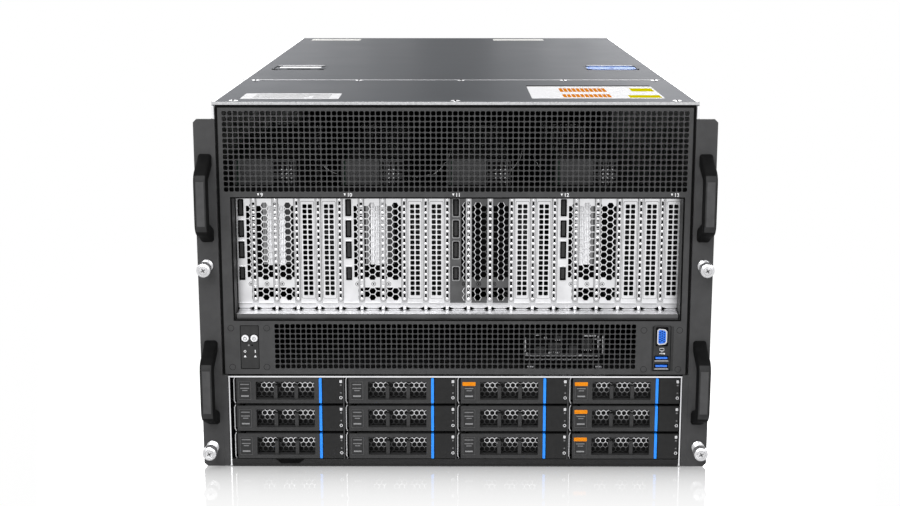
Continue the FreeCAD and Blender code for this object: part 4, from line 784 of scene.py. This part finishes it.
# Base strip under the trays, and the panel's edges beside them
strip = Form(PLATE_PLASTIC)
strip.block((-213.8, 213.8), (-0.5, 0), (1.6, 6.9))
strip.block((-213.8, 213.8), (-1.1, 0), (0, 1.6))
notch = [(-172, 6.9), (-167, 3), (-150, 3), (-145, 6.9)]
strip.slab(notch, (-1.4, -0.4), NEAR_BLACK)
for x in both_sides(216.5, 221.9):
    strip.block(x, (-0.2, 1), (0.2, 91), BLACK_COAT)
strip.piece("base_strip", bevel=0.2, slot="black_paint")


# Rack handles: faces that look to the front get a painted light, the bends a painted half light,
# and the rest painted shade

def handle(form, x, z):
    """A bent bar with round bends and soft edges."""
    line = [(0.5, 37.4), (-7, 34)]
    for step in range(9):
        across, up = polar((0, 0), 9, 22 + 68 * step / 8)
        line.append((9 - 30.2 - up, 18.6 + across))
    line += [(a, -b) for a, b in line[::-1]]
    section = rounded((-6.2, 6.2), (-8.2, 4.4), 2.6, 3)
    rows = []
    for number, (y, rise) in enumerate(line):
        before = line[max(number - 1, 0)]
        after = line[min(number + 1, len(line) - 1)]
        run = math.dist(before, after)
        out = ((after[1] - before[1]) / run, (before[0] - after[0]) / run)
        rows.append(form.add([(x + a, y + b * out[0], z + rise + b * out[1]) for a, b in section]))
    form.loft(rows)


handles = Form(HANDLE_SHADE)
for x in (-231.3, 231.3):
    for z in (83.7, 261.5):
        handle(handles, x, z)
# Painted light: faces that look straight to the front get the lit coat, nearly frontal ones the
# half-lit coat, and the rest keep the painted shade
for number, ids in enumerate(handles.faces):
    a, b, _, d = [Vector(handles.points[i]) for i in ids]
    facing = abs((b - a).cross(d - a).normalized().y)
    if facing > 0.8:
        handles.tones[number] = HANDLE_LIGHT if facing > 0.985 else HANDLE_HALF_LIGHT
handles.piece("pull_handles", smooth=50, replaces="rack_handles", slot="black_paint")


# Thumb screws: head, sleeve with rings, and shank. The cross recess is grey bars of painted shade,
# and the rings carry a painted highlight
HEAD_END = -24
SLEEVE = 5.3
screw_profile = [(HEAD_END, 0), (HEAD_END, 4.4), (-23.6, 5.2), (-22.9, 6.6), (-13.6, 6.6)]
screw_profile += [(-12.9, 5.9), (-12.2, SLEEVE), (-1.4, SLEEVE), (-1, 5.7), (0, 5.7)]
screw_profile += [(0, 3), (14, 3), (14.5, 2.4), (14.5, 0)]

screws = Form(KNOB)
for x in (-232.55, 232.55):
    for z in (19.7, 197.5):
        screws.turned((x, z), screw_profile, steps=64, knurl=0.45, knurled=(3, 4))
        # Two grey bars stand for the cross recess: painted shade
        for turn in (30, 120):
            screws.bar((x, z), turn, (-2.4, 2.4), 0.6, (-24.06, -23.98), GREY_PRINT_AND_SHADE)
        # Rings in the brighter nickel: a painted highlight on the sleeve
        for y in (-11.6, -8.6, -5.6, -2.6):
            rib = [(y, SLEEVE), (y + 0.4, 5.9), (y + 1.6, 5.9), (y + 2, SLEEVE)]
            screws.turned((x, z), rib, steps=40, tone=BRIGHT)
        screws.band((x, z), 3.9, 3.6, (-24.05, -23.98), MID_GREY)
screws.piece("rack_screws", smooth=32, replaces="thumb_screws", slot="nickel")


# Control module, buttons and ports in the lower corners of the panel
BUTTON_Z = 126.8
POWER_X = -198.85
UID_X = -190.35
MARK = (0.3, 0.4)
FRAME_LINE = (0, 0.3)


def button(name, x, stroke):
    """A glossy round cap with a ring mark, and a stroke or a dot in it."""
    form = Form(WHITE)
    centre = (x, BUTTON_Z)
    profile = [(-0.8, 0), (-0.8, 2.4), (-0.65, 3), (-0.2, 3.4), (0.4, 3.5), (9, 3.5), (9, 0)]
    form.turned(centre, profile, steps=40)
    form.band(centre, 1.7, 1.25, (-0.86, -0.79), GREY_LABEL, 28)
    if stroke:
        form.block(about(x, 0.22), (-0.9, -0.79), (BUTTON_Z + 0.5, BUTTON_Z + 2.1), GREY_LABEL)
    else:
        form.slab(ring(*centre, 0.5, 16), (-0.88, -0.79), GREY_LABEL)
    node = f"{name}_button"
    form.piece(f"{name}_cap", node, smooth=30, replaces=node, slot="white_plastic")


def frame_line(form, x, z):
    """A thin dark line round a module."""
    inner = rounded(within(x, 0.5), within(z, 0.5), 1)
    form.slab(rounded(x, z, 1.2), FRAME_LINE, NEAR_BLACK, holes=[inner])


button("power", POWER_X, True)
button("uid", UID_X, False)

module = Form(PRINT)
frame_line(module, (-203.5, -185.7), (96.7, 139.5))
for x in (POWER_X, UID_X):
    module.band((x, BUTTON_Z), 4.1, 3.6, (0.2, 0.4), NEAR_BLACK, 36)
for x, tone in ((-195.6, MID_GREY), (-192.4, NEAR_BLACK)):
    module.slab(rounded(about(x, 0.8), (119.3, 120.7), 0.3, 2), MARK, tone)
module.band((-199.3, 114), 1.2, 0.7, MARK, steps=20)
module.block((-190, -189.2), MARK, (112.6, 115.4))
for x in (-199.3, -189.6):
    module.slab([(x - 1.3, 108.2), (x + 1.3, 108.2), (x, 110.4)], MARK)
module.piece("control_marks", slot="black_plastic")


def d_shape(x, z, radius):
    """The outline of a display port on its end: the left side is the longer one."""
    lean = 1.1
    corners = [(x[0], z[0]), (x[1], z[0] + lean), (x[1], z[1] - lean), (x[0], z[1])]
    outline = []
    for number, here in enumerate(corners):
        for other in (corners[number - 1], corners[(number + 1) % 4]):
            gap = math.dist(here, other)
            outline.append(tuple(p + (q - p) * radius / gap for p, q in zip(here, other)))
    return outline


def usb_port(form, z):
    """A USB port with a blue tongue and four contacts."""
    x = (188.9, 202.1)
    low = z[0]
    inside = rounded(within(x, 0.35), within(z, 0.35), 0.4, 2)
    form.slab(rounded(x, z, 0.7, 2), (0.1, 9), NEAR_BLACK, holes=[inside])
    form.slab(inside, (7, 9), NEAR_BLACK)
    form.block(x, (0, 0.1), (low - 0.5, low + 0.15), SCREW)
    form.block(within(x, 1), (0.2, 7), (low + 1.8, low + 3.6), PORT_BLUE)
    form.block(within(x, 0.5), (0.3, 7), (low + 0.35, low + 0.6))
    for contact in range(4):
        left = x[0] + 2.4 + contact * 2.4
        form.block((left, left + 1), (0.4, 6), (low + 1.7, low + 1.8), GOLD)


def port_faces():
    """A display port with its pin holes, two USB ports, and a screen mark between them."""
    form = Form(NICKEL)
    surround = rounded((189.6, 201.4), (119.4, 138), 1.2)
    lip = d_shape((190.9, 200.3), (120.5, 136.9), 1.8)
    shell = d_shape((192, 199.2), (121.6, 135.8), 1.4)
    form.slab(surround, (0.2, 0.4), NEAR_BLACK, holes=[lip])
    form.slab(lip, (-0.3, 6), holes=[shell])
    pins = []
    for x, shift in ((193.6, 0), (195.6, 1.1), (197.6, 0)):
        for row in range(5):
            pins.append(ring(x, 123.7 + shift + row * 2.25, 0.8, 10))
    form.slab(shell, (0.3, 4), PORT_BLUE, holes=pins)
    form.slab(shell, (4, 6), NEAR_BLACK)
    for z in ((105.2, 110.1), (97.3, 102.2)):
        usb_port(form, z)
    screen = rounded((193.9, 197.5), (115.2, 117.2), 0.3, 2)
    form.slab(rounded((193.6, 197.8), (114.8, 117.6), 0.5, 2), MARK, PRINT, holes=[screen])
    form.block((194.8, 196.6), MARK, (113.6, 114.1), PRINT)
    form.block((193.4, 198), MARK, (111.9, 112.4), PRINT)
    form.slab(ring(198, 112.15, 0.8, 16), (0.28, 0.4), PRINT)
    frame_line(form, (187, 204), (95.2, 139.6))
    form.piece("port_faces", replaces="front_ports", slot="nickel")


port_faces()


# Slot numbers and rivets on the front panel
NUMBER_Z = 264.6


def number_mark(text, x, z):
    """A plain printed number and its pointer."""
    curve = bpy.data.curves.new(f"number_{text}", "FONT")
    curve.body = text
    curve.size = 4.8 * MM
    curve.offset = 0.08 * MM
    curve.extrude = 0.02 * MM
    source = added(f"number_source_{text}", curve)
    bpy.context.view_layer.update()
    settled = source.evaluated_get(bpy.context.evaluated_depsgraph_get())
    mesh = bpy.data.meshes.new_from_object(settled)
    bpy.data.objects.remove(source)
    form = Form(PRINT)
    for vertex in mesh.vertices:
        a, b, c = vertex.co / MM
        form.points.append((x + 2 + a, -0.03 - c, z - 1.6 + b))
    for polygon in mesh.polygons:
        form.face(list(polygon.vertices))
    form.slab([(x - 1.1, z + 1.3), (x, z - 1.1), (x + 1.1, z + 1.3)], (-0.05, 0))
    form.piece(f"slot_number_{text}")


for text, x in (("9", -182.9), ("10", -102.5), ("11", -1.9), ("12", 98.7), ("13", 200.8)):
    number_mark(text, x, NUMBER_Z)

rivets = Form(BLACK_COAT)
for x, z in ((-212, 136.8), (-178.2, 136.8), (-211.4, 98.6), (-178.8, 98.6)):
    for place in ((x, z), (-x, z - 1.8)):
        rivets.turned(place, [(-0.12, 0), (-0.1, 2), (0, 2.7)])
        rivets.band(place, 3, 2.7, (-0.03, 0), NEAR_BLACK)
rivets.piece("panel_rivets", smooth=40, slot="black_paint")


# Covers: screws, painted edge highlights and shade, labels, foil strips and latch frames
# Where the covers' side edges get a painted highlight
HIGHLIGHT_EDGE_X = (220.6, 223.3)
LATCH_X = 178
PAPER_RISE = 0.1
INK_RISE = 0.14
top_z = measured_from(TOP)


def cover_screw(form, x, y, radius):
    """A low screw whose slot is a near-black bar: painted shade in place of a cut slot."""
    profile = [(0, radius), (0.45, radius - 0.2), (0.6, radius - 0.9), (0.6, 0)]
    form.turned((x, y), moved(profile, TOP, 0), "z", 28)
    form.block(about(x, 0.8), about(y, radius + 0.02), top_z(0.15, 0.64), NEAR_BLACK)


def flat(form, x, y, rise, tone=None, radius=1.5):
    form.slab(rounded(x, y, radius), top_z(0, rise), tone, axis="z")


def bowed(x, y, half, depth, bow):
    """A flat pill: a rectangle whose two ends bulge a little."""
    outline = []
    for side in (1, -1):
        for step in range(13):
            share = side * (step / 6 - 1)
            bulge = bow * math.sqrt(1 - share * share)
            outline.append((x + side * (half - bow + bulge), y + share * depth))
    return outline


def cut_corners(x, y, half, depth, front, rear):
    """A rectangle with its corners cut off, by one length in front and by another behind."""
    right = [(half - front, -depth), (half, front - depth)]
    right += [(half, depth - rear), (half - rear, depth)]
    return moved(right + [(-a, b) for a, b in right[::-1]], x, y)


front_top = Form(NICKEL)
for x in (-204.6, 0, 204):
    cover_screw(front_top, x, 7, 4.2)
for x in (-209, -101, 5.7, 112.8, 208):
    cover_screw(front_top, x, 203.5, 3.6)
front_top.piece("cover_screws", smooth=35, slot="nickel")

WINDOW_X = (-207.5, 211.5)
LIP_Y = (-0.25, 0)
SHADE_Y = (-0.1, 0)
# Painted light and shade along edges: bright strips are painted highlights, near-black ones painted
# shade in gaps
edge_light_shade = Form(BRIGHT)
# Painted highlight on the cover's front lip
edge_light_shade.block((-223.4, 223.4), LIP_Y, (348.3, 350.8), SCREW)
# Painted highlights on the side walls' front edges
for x in both_sides(221.7, 223.4):
    edge_light_shade.block(x, LIP_Y, (335.4, 347.2))
edge_light_shade.block((-206.4, 210.4), (3.2, 19.9), (150, 150.12), PLATE)
# Painted shade in the gap under the cover's lip, and round the slot window
edge_light_shade.block((-220.6, 220.6), (-0.12, 0), (345.6, 348.1), NEAR_BLACK)
edge_light_shade.block(WINDOW_X, SHADE_Y, (143.9, 145.5), NEAR_BLACK)
edge_light_shade.block(WINDOW_X, (-0.1, 1.2), (261, 262.3), NEAR_BLACK)
for x in ((WINDOW_X[0] - 1.6, WINDOW_X[0]), (WINDOW_X[1], WINDOW_X[1] + 1.6)):
    edge_light_shade.block(x, SHADE_Y, (143.9, 262.3), NEAR_BLACK)
# Painted shade in the gaps beside the ears
for x in both_sides(218.5, 220.9):
    edge_light_shade.block(x, SHADE_Y, (92, 346), NEAR_BLACK)
flat(edge_light_shade, (-214, 214), (207.2, 209), 0.3, PLATE, 0.4)
# Painted highlights along the cover's side edges
for x in both_sides(*HIGHLIGHT_EDGE_X):
    flat(edge_light_shade, x, (1, 210), 0.1, PLATE, 0.5)
edge_light_shade.piece("painted_edge_light_and_shade", bevel=0.08, slot="bright_steel")

# Labels carry plain bars and colour blocks
labels = Form(PAPER)
flat(labels, (-201, -109), (24, 73), PAPER_RISE)
for row in range(4):
    y = 31 + 10 * row
    for x in ((-190, -142 + 4 * row), (-134, -118)):
        labels.block(x, (y, y + 3.2), top_z(0, INK_RISE), FAINT_PRINT)
flat(labels, (71.5, 196), (29, 143), PAPER_RISE)
labels.block((71.5, 196), (141, 150), top_z(0, 0.16), NEAR_BLACK)
for y in ((38, 66), (88, 122)):
    for tooth in range(11):
        x = 102 + 4.2 * tooth
        labels.block((x, x + 3.4), y, top_z(0, INK_RISE), ORANGE)
flat(labels, (164, 194), (34, 58), INK_RISE, YELLOW, 0.8)
flat(labels, (172, 194), (92, 122), INK_RISE, YELLOW, 0.8)
labels.piece("cover_labels")

rear_top = Form(FOIL)
for x in ((-206, -136), (54, 126)):
    flat(rear_top, x, (800, 829), PAPER_RISE)
# Painted highlights along the rear cover's side edges
for x in both_sides(*HIGHLIGHT_EDGE_X):
    flat(rear_top, x, (214, 848), 0.1, SCREW, 0.5)
for x in (-LATCH_X, LATCH_X):
    outer = cut_corners(x, 357.5, 30.6, 21.6, 6, 2)
    inner = cut_corners(x, 357.5, 28.4, 20.4, 6, 0.3)
    rear_top.slab(outer, top_z(0, 0.25), GALVANISED, [inner], "z")
    rear_top.slab(bowed(x, 378.9, 27, 0.9, 0.8), top_z(0.2, 0.8), SCREW, axis="z")
rear_top.piece("rear_cover_trim", "rear_cover", slot="bright_steel")

LATCH_SKIN = top_z(-0.4, -0.34)
slit = Form(NEAR_BLACK)
slit.slab(rounded((-191, -165), (338.5, 349.5), 2), LATCH_SKIN, axis="z")
slit.slab(bowed(-LATCH_X, 366, 24, 8, 3), top_z(-0.42, -0.37), SCREW, axis="z")
slit.piece("latch_slit", "cover_latch_left")
mark = Form(NEAR_BLACK)
mark.slab(rounded((176, 181), (353, 360), 2), LATCH_SKIN, axis="z")
mark.piece("latch_mark", "cover_latch_right")


# Small board seen behind the lower grille: feet, tracks, chips with legs, and small parts
BOARD_FACE = 30
chips = ((78, 104, 9, 7), (90, 106, 12, 9), (110, 104, 8, 8), (122, 108, 10, 10), (96, 118, 7, 4))
small_parts = (
    (66, 114), (68, 103), (78, 122), (86, 119), (90, 104), (97, 104), (120, 102), (134, 118),
    (138, 117),
)

board = Form(NEAR_BLACK)
board.block((66, 143), (BOARD_FACE, 31.6), (91.5, 126))
for x in (70, 136):
    board.block((x, x + 6), (31.6, 42), (89.9, 91.1), SCREW)
    board.block((x, x + 6), (31.6, 32.8), (91.1, 98), SCREW)
for z in (97.6, 101.4):
    board.block((68, 140), (29.2, BOARD_FACE), (z, z + 0.9), SCREW)
track = (28.6, BOARD_FACE)
board.block((66.4, 68.2), track, (106, 120), SCREW)
for x, z in ((137.4, 108), (142, 104)):
    board.block((x, x + 0.9), track, (z, 122), SCREW)
board.block((124, 136), track, (121.4, 122.6), PALE_GREY)
for x, z, width, height in chips:
    board.block((x, x + width), (28.8, BOARD_FACE), (z, z + height), BLACK_PLASTIC)
    for leg in range(width // 2):
        leg_x = about(x + 1 + leg * 2, 0.4)
        board.block(leg_x, (29.4, BOARD_FACE), (z - 0.9, z), SCREW)
for x, z in small_parts:
    board.block((x, x + 2.4), (28.4, BOARD_FACE), (z, z + 1.6), PALE_GREY)
board.piece("front_board", slot="board")


# Fans and their guards
FAN_PITCH = 105
FAN_Z = 196
WIRE = 0.9
rear_y = measured_from(REAR)
hub = [(809.5, 0), (809.5, 2), (813, 2), (813, 18.5), (814.5, 20.6), (836.5, 20.9)]
hub += [(837.6, 20), (838, 17.5), (838, 0)]

guards = Form(NICKEL)
for number in range(1, 5):
    centre = ((number - 2.5) * FAN_PITCH, FAN_Z)
    rotor = Form(BLACK_PLASTIC)
    rotor.turned(centre, hub, steps=48)
    rotor.blades(
        centre, 9, (20.4, 45), (816, 833), 1.3, sweep=46, lean=10, bend=1.2, rays=5, steps=7
    )
    node = f"fan_rotor_{number}"
    rotor.piece(f"rotor_{number}", node, smooth=40, replaces=node, slot="black_plastic")
    guards.band(centre, 49, 39.5, rear_y(0, 1), BLACK_PLASTIC, 64)
    for radius in (9, 17, 25, 33):
        wire = [polar((REAR + 1.2, radius), WIRE, 45 * step) for step in range(9)]
        guards.turned(centre, wire, steps=48)
    eye = moved([(0, 4.2), (0.9, 4), (1.5, 3), (1.7, 0)], REAR, 0)
    for turn in (45, 135, 225, 315):
        guards.bar(centre, turn, (9, 60), WIRE, rear_y(0.1, 1.6))
        guards.turned(polar(centre, 64, turn), eye, steps=20)
guards.piece("fan_guards", smooth=40, slot="nickel")


# Power supplies
PSU_PITCH = 76
PSU_FACE = 851.5
PSU_MIDDLE = 110.1
CATCH_Z = (98, 114)
psu_y = measured_from(PSU_FACE)


def psu_face():
    """The rear of a power supply: inlet with pins, fan behind a guard, light and catch."""
    form = Form(BLACK_PLASTIC)
    inlet = (18, PSU_MIDDLE)
    outer = rounded(about(inlet[0], 14), about(inlet[1], 12), 2.5)
    mouth = moved([(-12, -10), (12, -10), (12, 6), (8, 10), (-8, 10), (-12, 6)], *inlet)
    bottom = scaled(mouth, inlet, 0.94)
    form.slab(outer, psu_y(0, 0.9), holes=[mouth])
    form.slab(mouth, psu_y(-11, 0.4), NEAR_BLACK, holes=[bottom])
    form.slab(bottom, psu_y(-11.8, -11.2), NEAR_BLACK)
    for x, z in moved([(-7, -1.5), (7, -1.5), (0, 3)], *inlet):
        form.block(about(x, 1), psu_y(-11.5, -2), about(z, 2.2), NICKEL)
    fan = (-18, PSU_MIDDLE)
    square = rectangle(about(fan[0], 13.9), about(fan[1], 13.9))
    bore = ring(*fan, 13.6, 48)
    form.slab(square, psu_y(-5.9, -0.1), holes=[bore], hole_tone=NEAR_BLACK)
    form.slab(bore, psu_y(-6.2, -5.9), NEAR_BLACK)
    spinner = [(-5.8, 0), (-5.8, 7), (-3, 6.6), (-2.6, 5.6), (-2.6, 0)]
    form.turned(fan, moved(spinner, PSU_FACE, 0))
    form.blades(fan, 7, (6.4, 13.2), psu_y(-5.6, -3.2), 0.6, sweep=44)
    for radius in (5, 9, 13):
        form.band(fan, radius + 0.45, radius - 0.45, psu_y(-1.2, -0.3), NICKEL, 40)
    for turn in (0, 90):
        form.bar(fan, turn, (-14, 14), 0.5, psu_y(-1.6, -0.6), NICKEL)
    form.slab(ring(33.6, 124, 1.3, 20), psu_y(0, 0.4), GREEN_LIGHT)
    form.block((33, 35.4), psu_y(0, 9), CATCH_Z, LATCH_BLUE)
    form.block((32.4, 36), psu_y(7, 9.6), CATCH_Z, LATCH_BLUE)
    return form


for number in range(1, 5):
    face = psu_face().shifted((number - 2.5) * PSU_PITCH, 0)
    face.piece(f"psu_face_{number}", f"psu_{number}", smooth=30, slot="black_plastic")


# Sockets of the main board at the rear: two network, two USB and two screwed ones
NETWORK = 2
USB = 4
shells = [
    rounded((48, 62), (13, 26.5), 0.8, 2),
    rounded((64, 78), (13, 26.5), 0.8, 2),
    rounded((81, 94.5), (13, 18.4), 0.8, 2),
    rounded((81, 94.5), (21, 26.4), 0.8, 2),
    rounded((98, 131), (13.5, 25.5), 3),
    rounded((48, 80), (30, 41), 3),
]
sockets = Form(NICKEL)
sockets.slab(rectangle((45.4, 134.6), (10.4, 43.6)), rear_y(0, 0.6), holes=shells)
for number, shell in enumerate(shells):
    a, b = (sum(values) / len(shell) for values in zip(*shell))
    opening = scaled(shell, (a, b), 0.9)
    sockets.slab(shell, rear_y(0, 1.4), holes=[opening])
    sockets.slab(opening, rear_y(0, 0.2), NEAR_BLACK)
    if number < NETWORK:
        for pin in range(8):
            x = a - 4.4 + pin * 1.2
            sockets.block((x, x + 0.5), rear_y(0.2, 0.5), (14.4, 18), GOLD)
        for x in (a - 5.4, a + 3.4):
            sockets.block((x, x + 2), rear_y(0.6, 0.9), (27.4, 28.8), GREEN_LIGHT)
    elif number < USB:
        tongue = (b - 0.2, b + 1.6)
        sockets.block(about(a, 5.6), rear_y(0.2, 1), tongue, PORT_BLUE)
    else:
        for pin in grid((a - 6.4, b - 2.6), (3.2, 2.6), (5, 3)):
            sockets.slab(ring(*pin, 0.6, 10), rear_y(0.2, 0.7), GOLD)
sockets.piece("rear_sockets", slot="nickel")


# Screws on the rear panel
fixings = Form(SCREW)
places = [(x, 342) for x in (-214, -107, 0, 107, 214)]
places += [(x, z) for x in (-214, 214) for z in (8, 80, 136, 260)]
dome = moved([(0, 3), (0.7, 2.8), (1.2, 1.8), (1.2, 0)], REAR, 0)
for place in places:
    fixings.turned(place, dome, steps=24)
fixings.piece("rear_screws", smooth=35, slot="nickel")


# Camera
camera = added("camera", bpy.data.cameras.new("camera"))
camera.data.sensor_width = 36.0
camera.data.lens = 61.215
camera.data.clip_end = 200.0
camera.location = (0.00039, -1.8247, 0.50421)
camera.rotation_euler = (math.radians(90) - 0.2075, 0.0, 0.0038)
bpy.context.scene.camera = camera
bpy.context.scene.view_settings.view_transform = "Standard"


# Floor and light, in metres

def maths(tree, operation, *values):
    """The result of a math node; a value is a number or another node's output."""
    node = tree.nodes.new("ShaderNodeMath")
    node.operation = operation
    feed(tree, node, dict(enumerate(values)))
    return node.outputs["Value"]


def seen_as_white(tree):
    """One for the rays that show the background: camera, glossy and transmission rays."""
    rays = tree.nodes.new("ShaderNodeLightPath").outputs
    total = rays["Is Camera Ray"]
    for name in ("Is Glossy Ray", "Is Transmission Ray"):
        total = maths(tree, "MAXIMUM", total, rays[name])
    return total


world = bpy.data.worlds.new("studio")
bpy.context.scene.world = world
world.use_nodes = True
sky = world.node_tree
levels = {"Value": seen_as_white(sky), "To Min": 0.25, "To Max": 1.0}
strength = shade(sky, "MapRange", "Result", levels)
feed(sky, sky.nodes["Background"], {"Color": (1, 1, 1, 1), "Strength": strength})

FLOOR = (-40, 40)
FLOOR_DROP = 0.0004
floor_mesh = bpy.data.meshes.new("floor")
floor_mesh.from_pydata([(x, y, 0) for x, y in rectangle(FLOOR, FLOOR)], [], [(0, 1, 2, 3)])
floor = added("floor", floor_mesh)
floor.location.z = -FLOOR_DROP
floor_finish = bpy.data.materials.new("studio_floor")
floor_finish.use_nodes = True
floor_mesh.materials.append(floor_finish)

# The floor shows shadow and reflection near the object, and turns plain white away from it
FOOTPRINT = {"X": 0.225, "Y": 0.425}
FADE = -20.0
CLEAREST = 0.85
tree = floor_finish.node_tree
base = tree.nodes["Principled BSDF"]
feed(tree, base, {"Base Color": (0.86, 0.86, 0.86, 1), "Roughness": 0.05, "Metallic": 0.4})
place = tree.nodes.new("ShaderNodeSeparateXYZ")
feed(tree, place, {"Vector": shade(tree, "TexCoord", "Object", {})})
gap = 0.0
for axis, half in FOOTPRINT.items():
    beyond = maths(tree, "SUBTRACT", maths(tree, "ABSOLUTE", place.outputs[axis]), half)
    gap = maths(tree, "MAXIMUM", beyond, gap)
near = maths(tree, "EXPONENT", maths(tree, "MULTIPLY", gap, FADE))
plain = maths(tree, "SUBTRACT", 1.0, maths(tree, "MULTIPLY", near, CLEAREST))
white = maths(tree, "MULTIPLY", seen_as_white(tree), plain)
glow = shade(tree, "Emission", "Emission", {"Strength": 1.0})
blend = shade(tree, "MixShader", "Shader", {"Fac": white, 1: base.outputs["BSDF"], 2: glow})
feed(tree, tree.nodes["Material Output"], {"Surface": blend})


def lamp(name, place, aim, size, power):
    light = bpy.data.lights.new(name, "AREA")
    light.shape = "RECTANGLE"
    light.size, light.size_y = size
    light.energy = power
    thing = added(name, light)
    thing.location = place
    thing.rotation_euler = (Vector(aim) - Vector(place)).to_track_quat("-Z", "Y").to_euler()


FRONT = (0, -0.4, 0.25)
lamp("key", (-0.6, -2.5, 1.7), FRONT, (1.8, 1.4), 52)
lamp("fill", (1.4, -2.5, 1.3), FRONT, (1.6, 1.6), 16)
lamp("overhead", (0, -0.1, 2.4), (0, 0.0, 0), (1.6, 1.6), 14)

# Panels behind the object, which overlap more towards the sides and so shade the top's sheen
PANEL_REACH = 1.15
for step in range(4):
    inner = 0.1 + 0.13 * step
    wide = PANEL_REACH - inner
    middle = inner + wide / 2
    for side, name, power in ((-1, "left", 1.9), (1, "right", 2.9)):
        place = (side * middle, 2.2 + 0.02 * step, 0.8)
        aim = (side * middle, 0.0, 0.35)
        lamp(f"{name}_edge_{step}", place, aim, (wide, 0.9), power * wide)
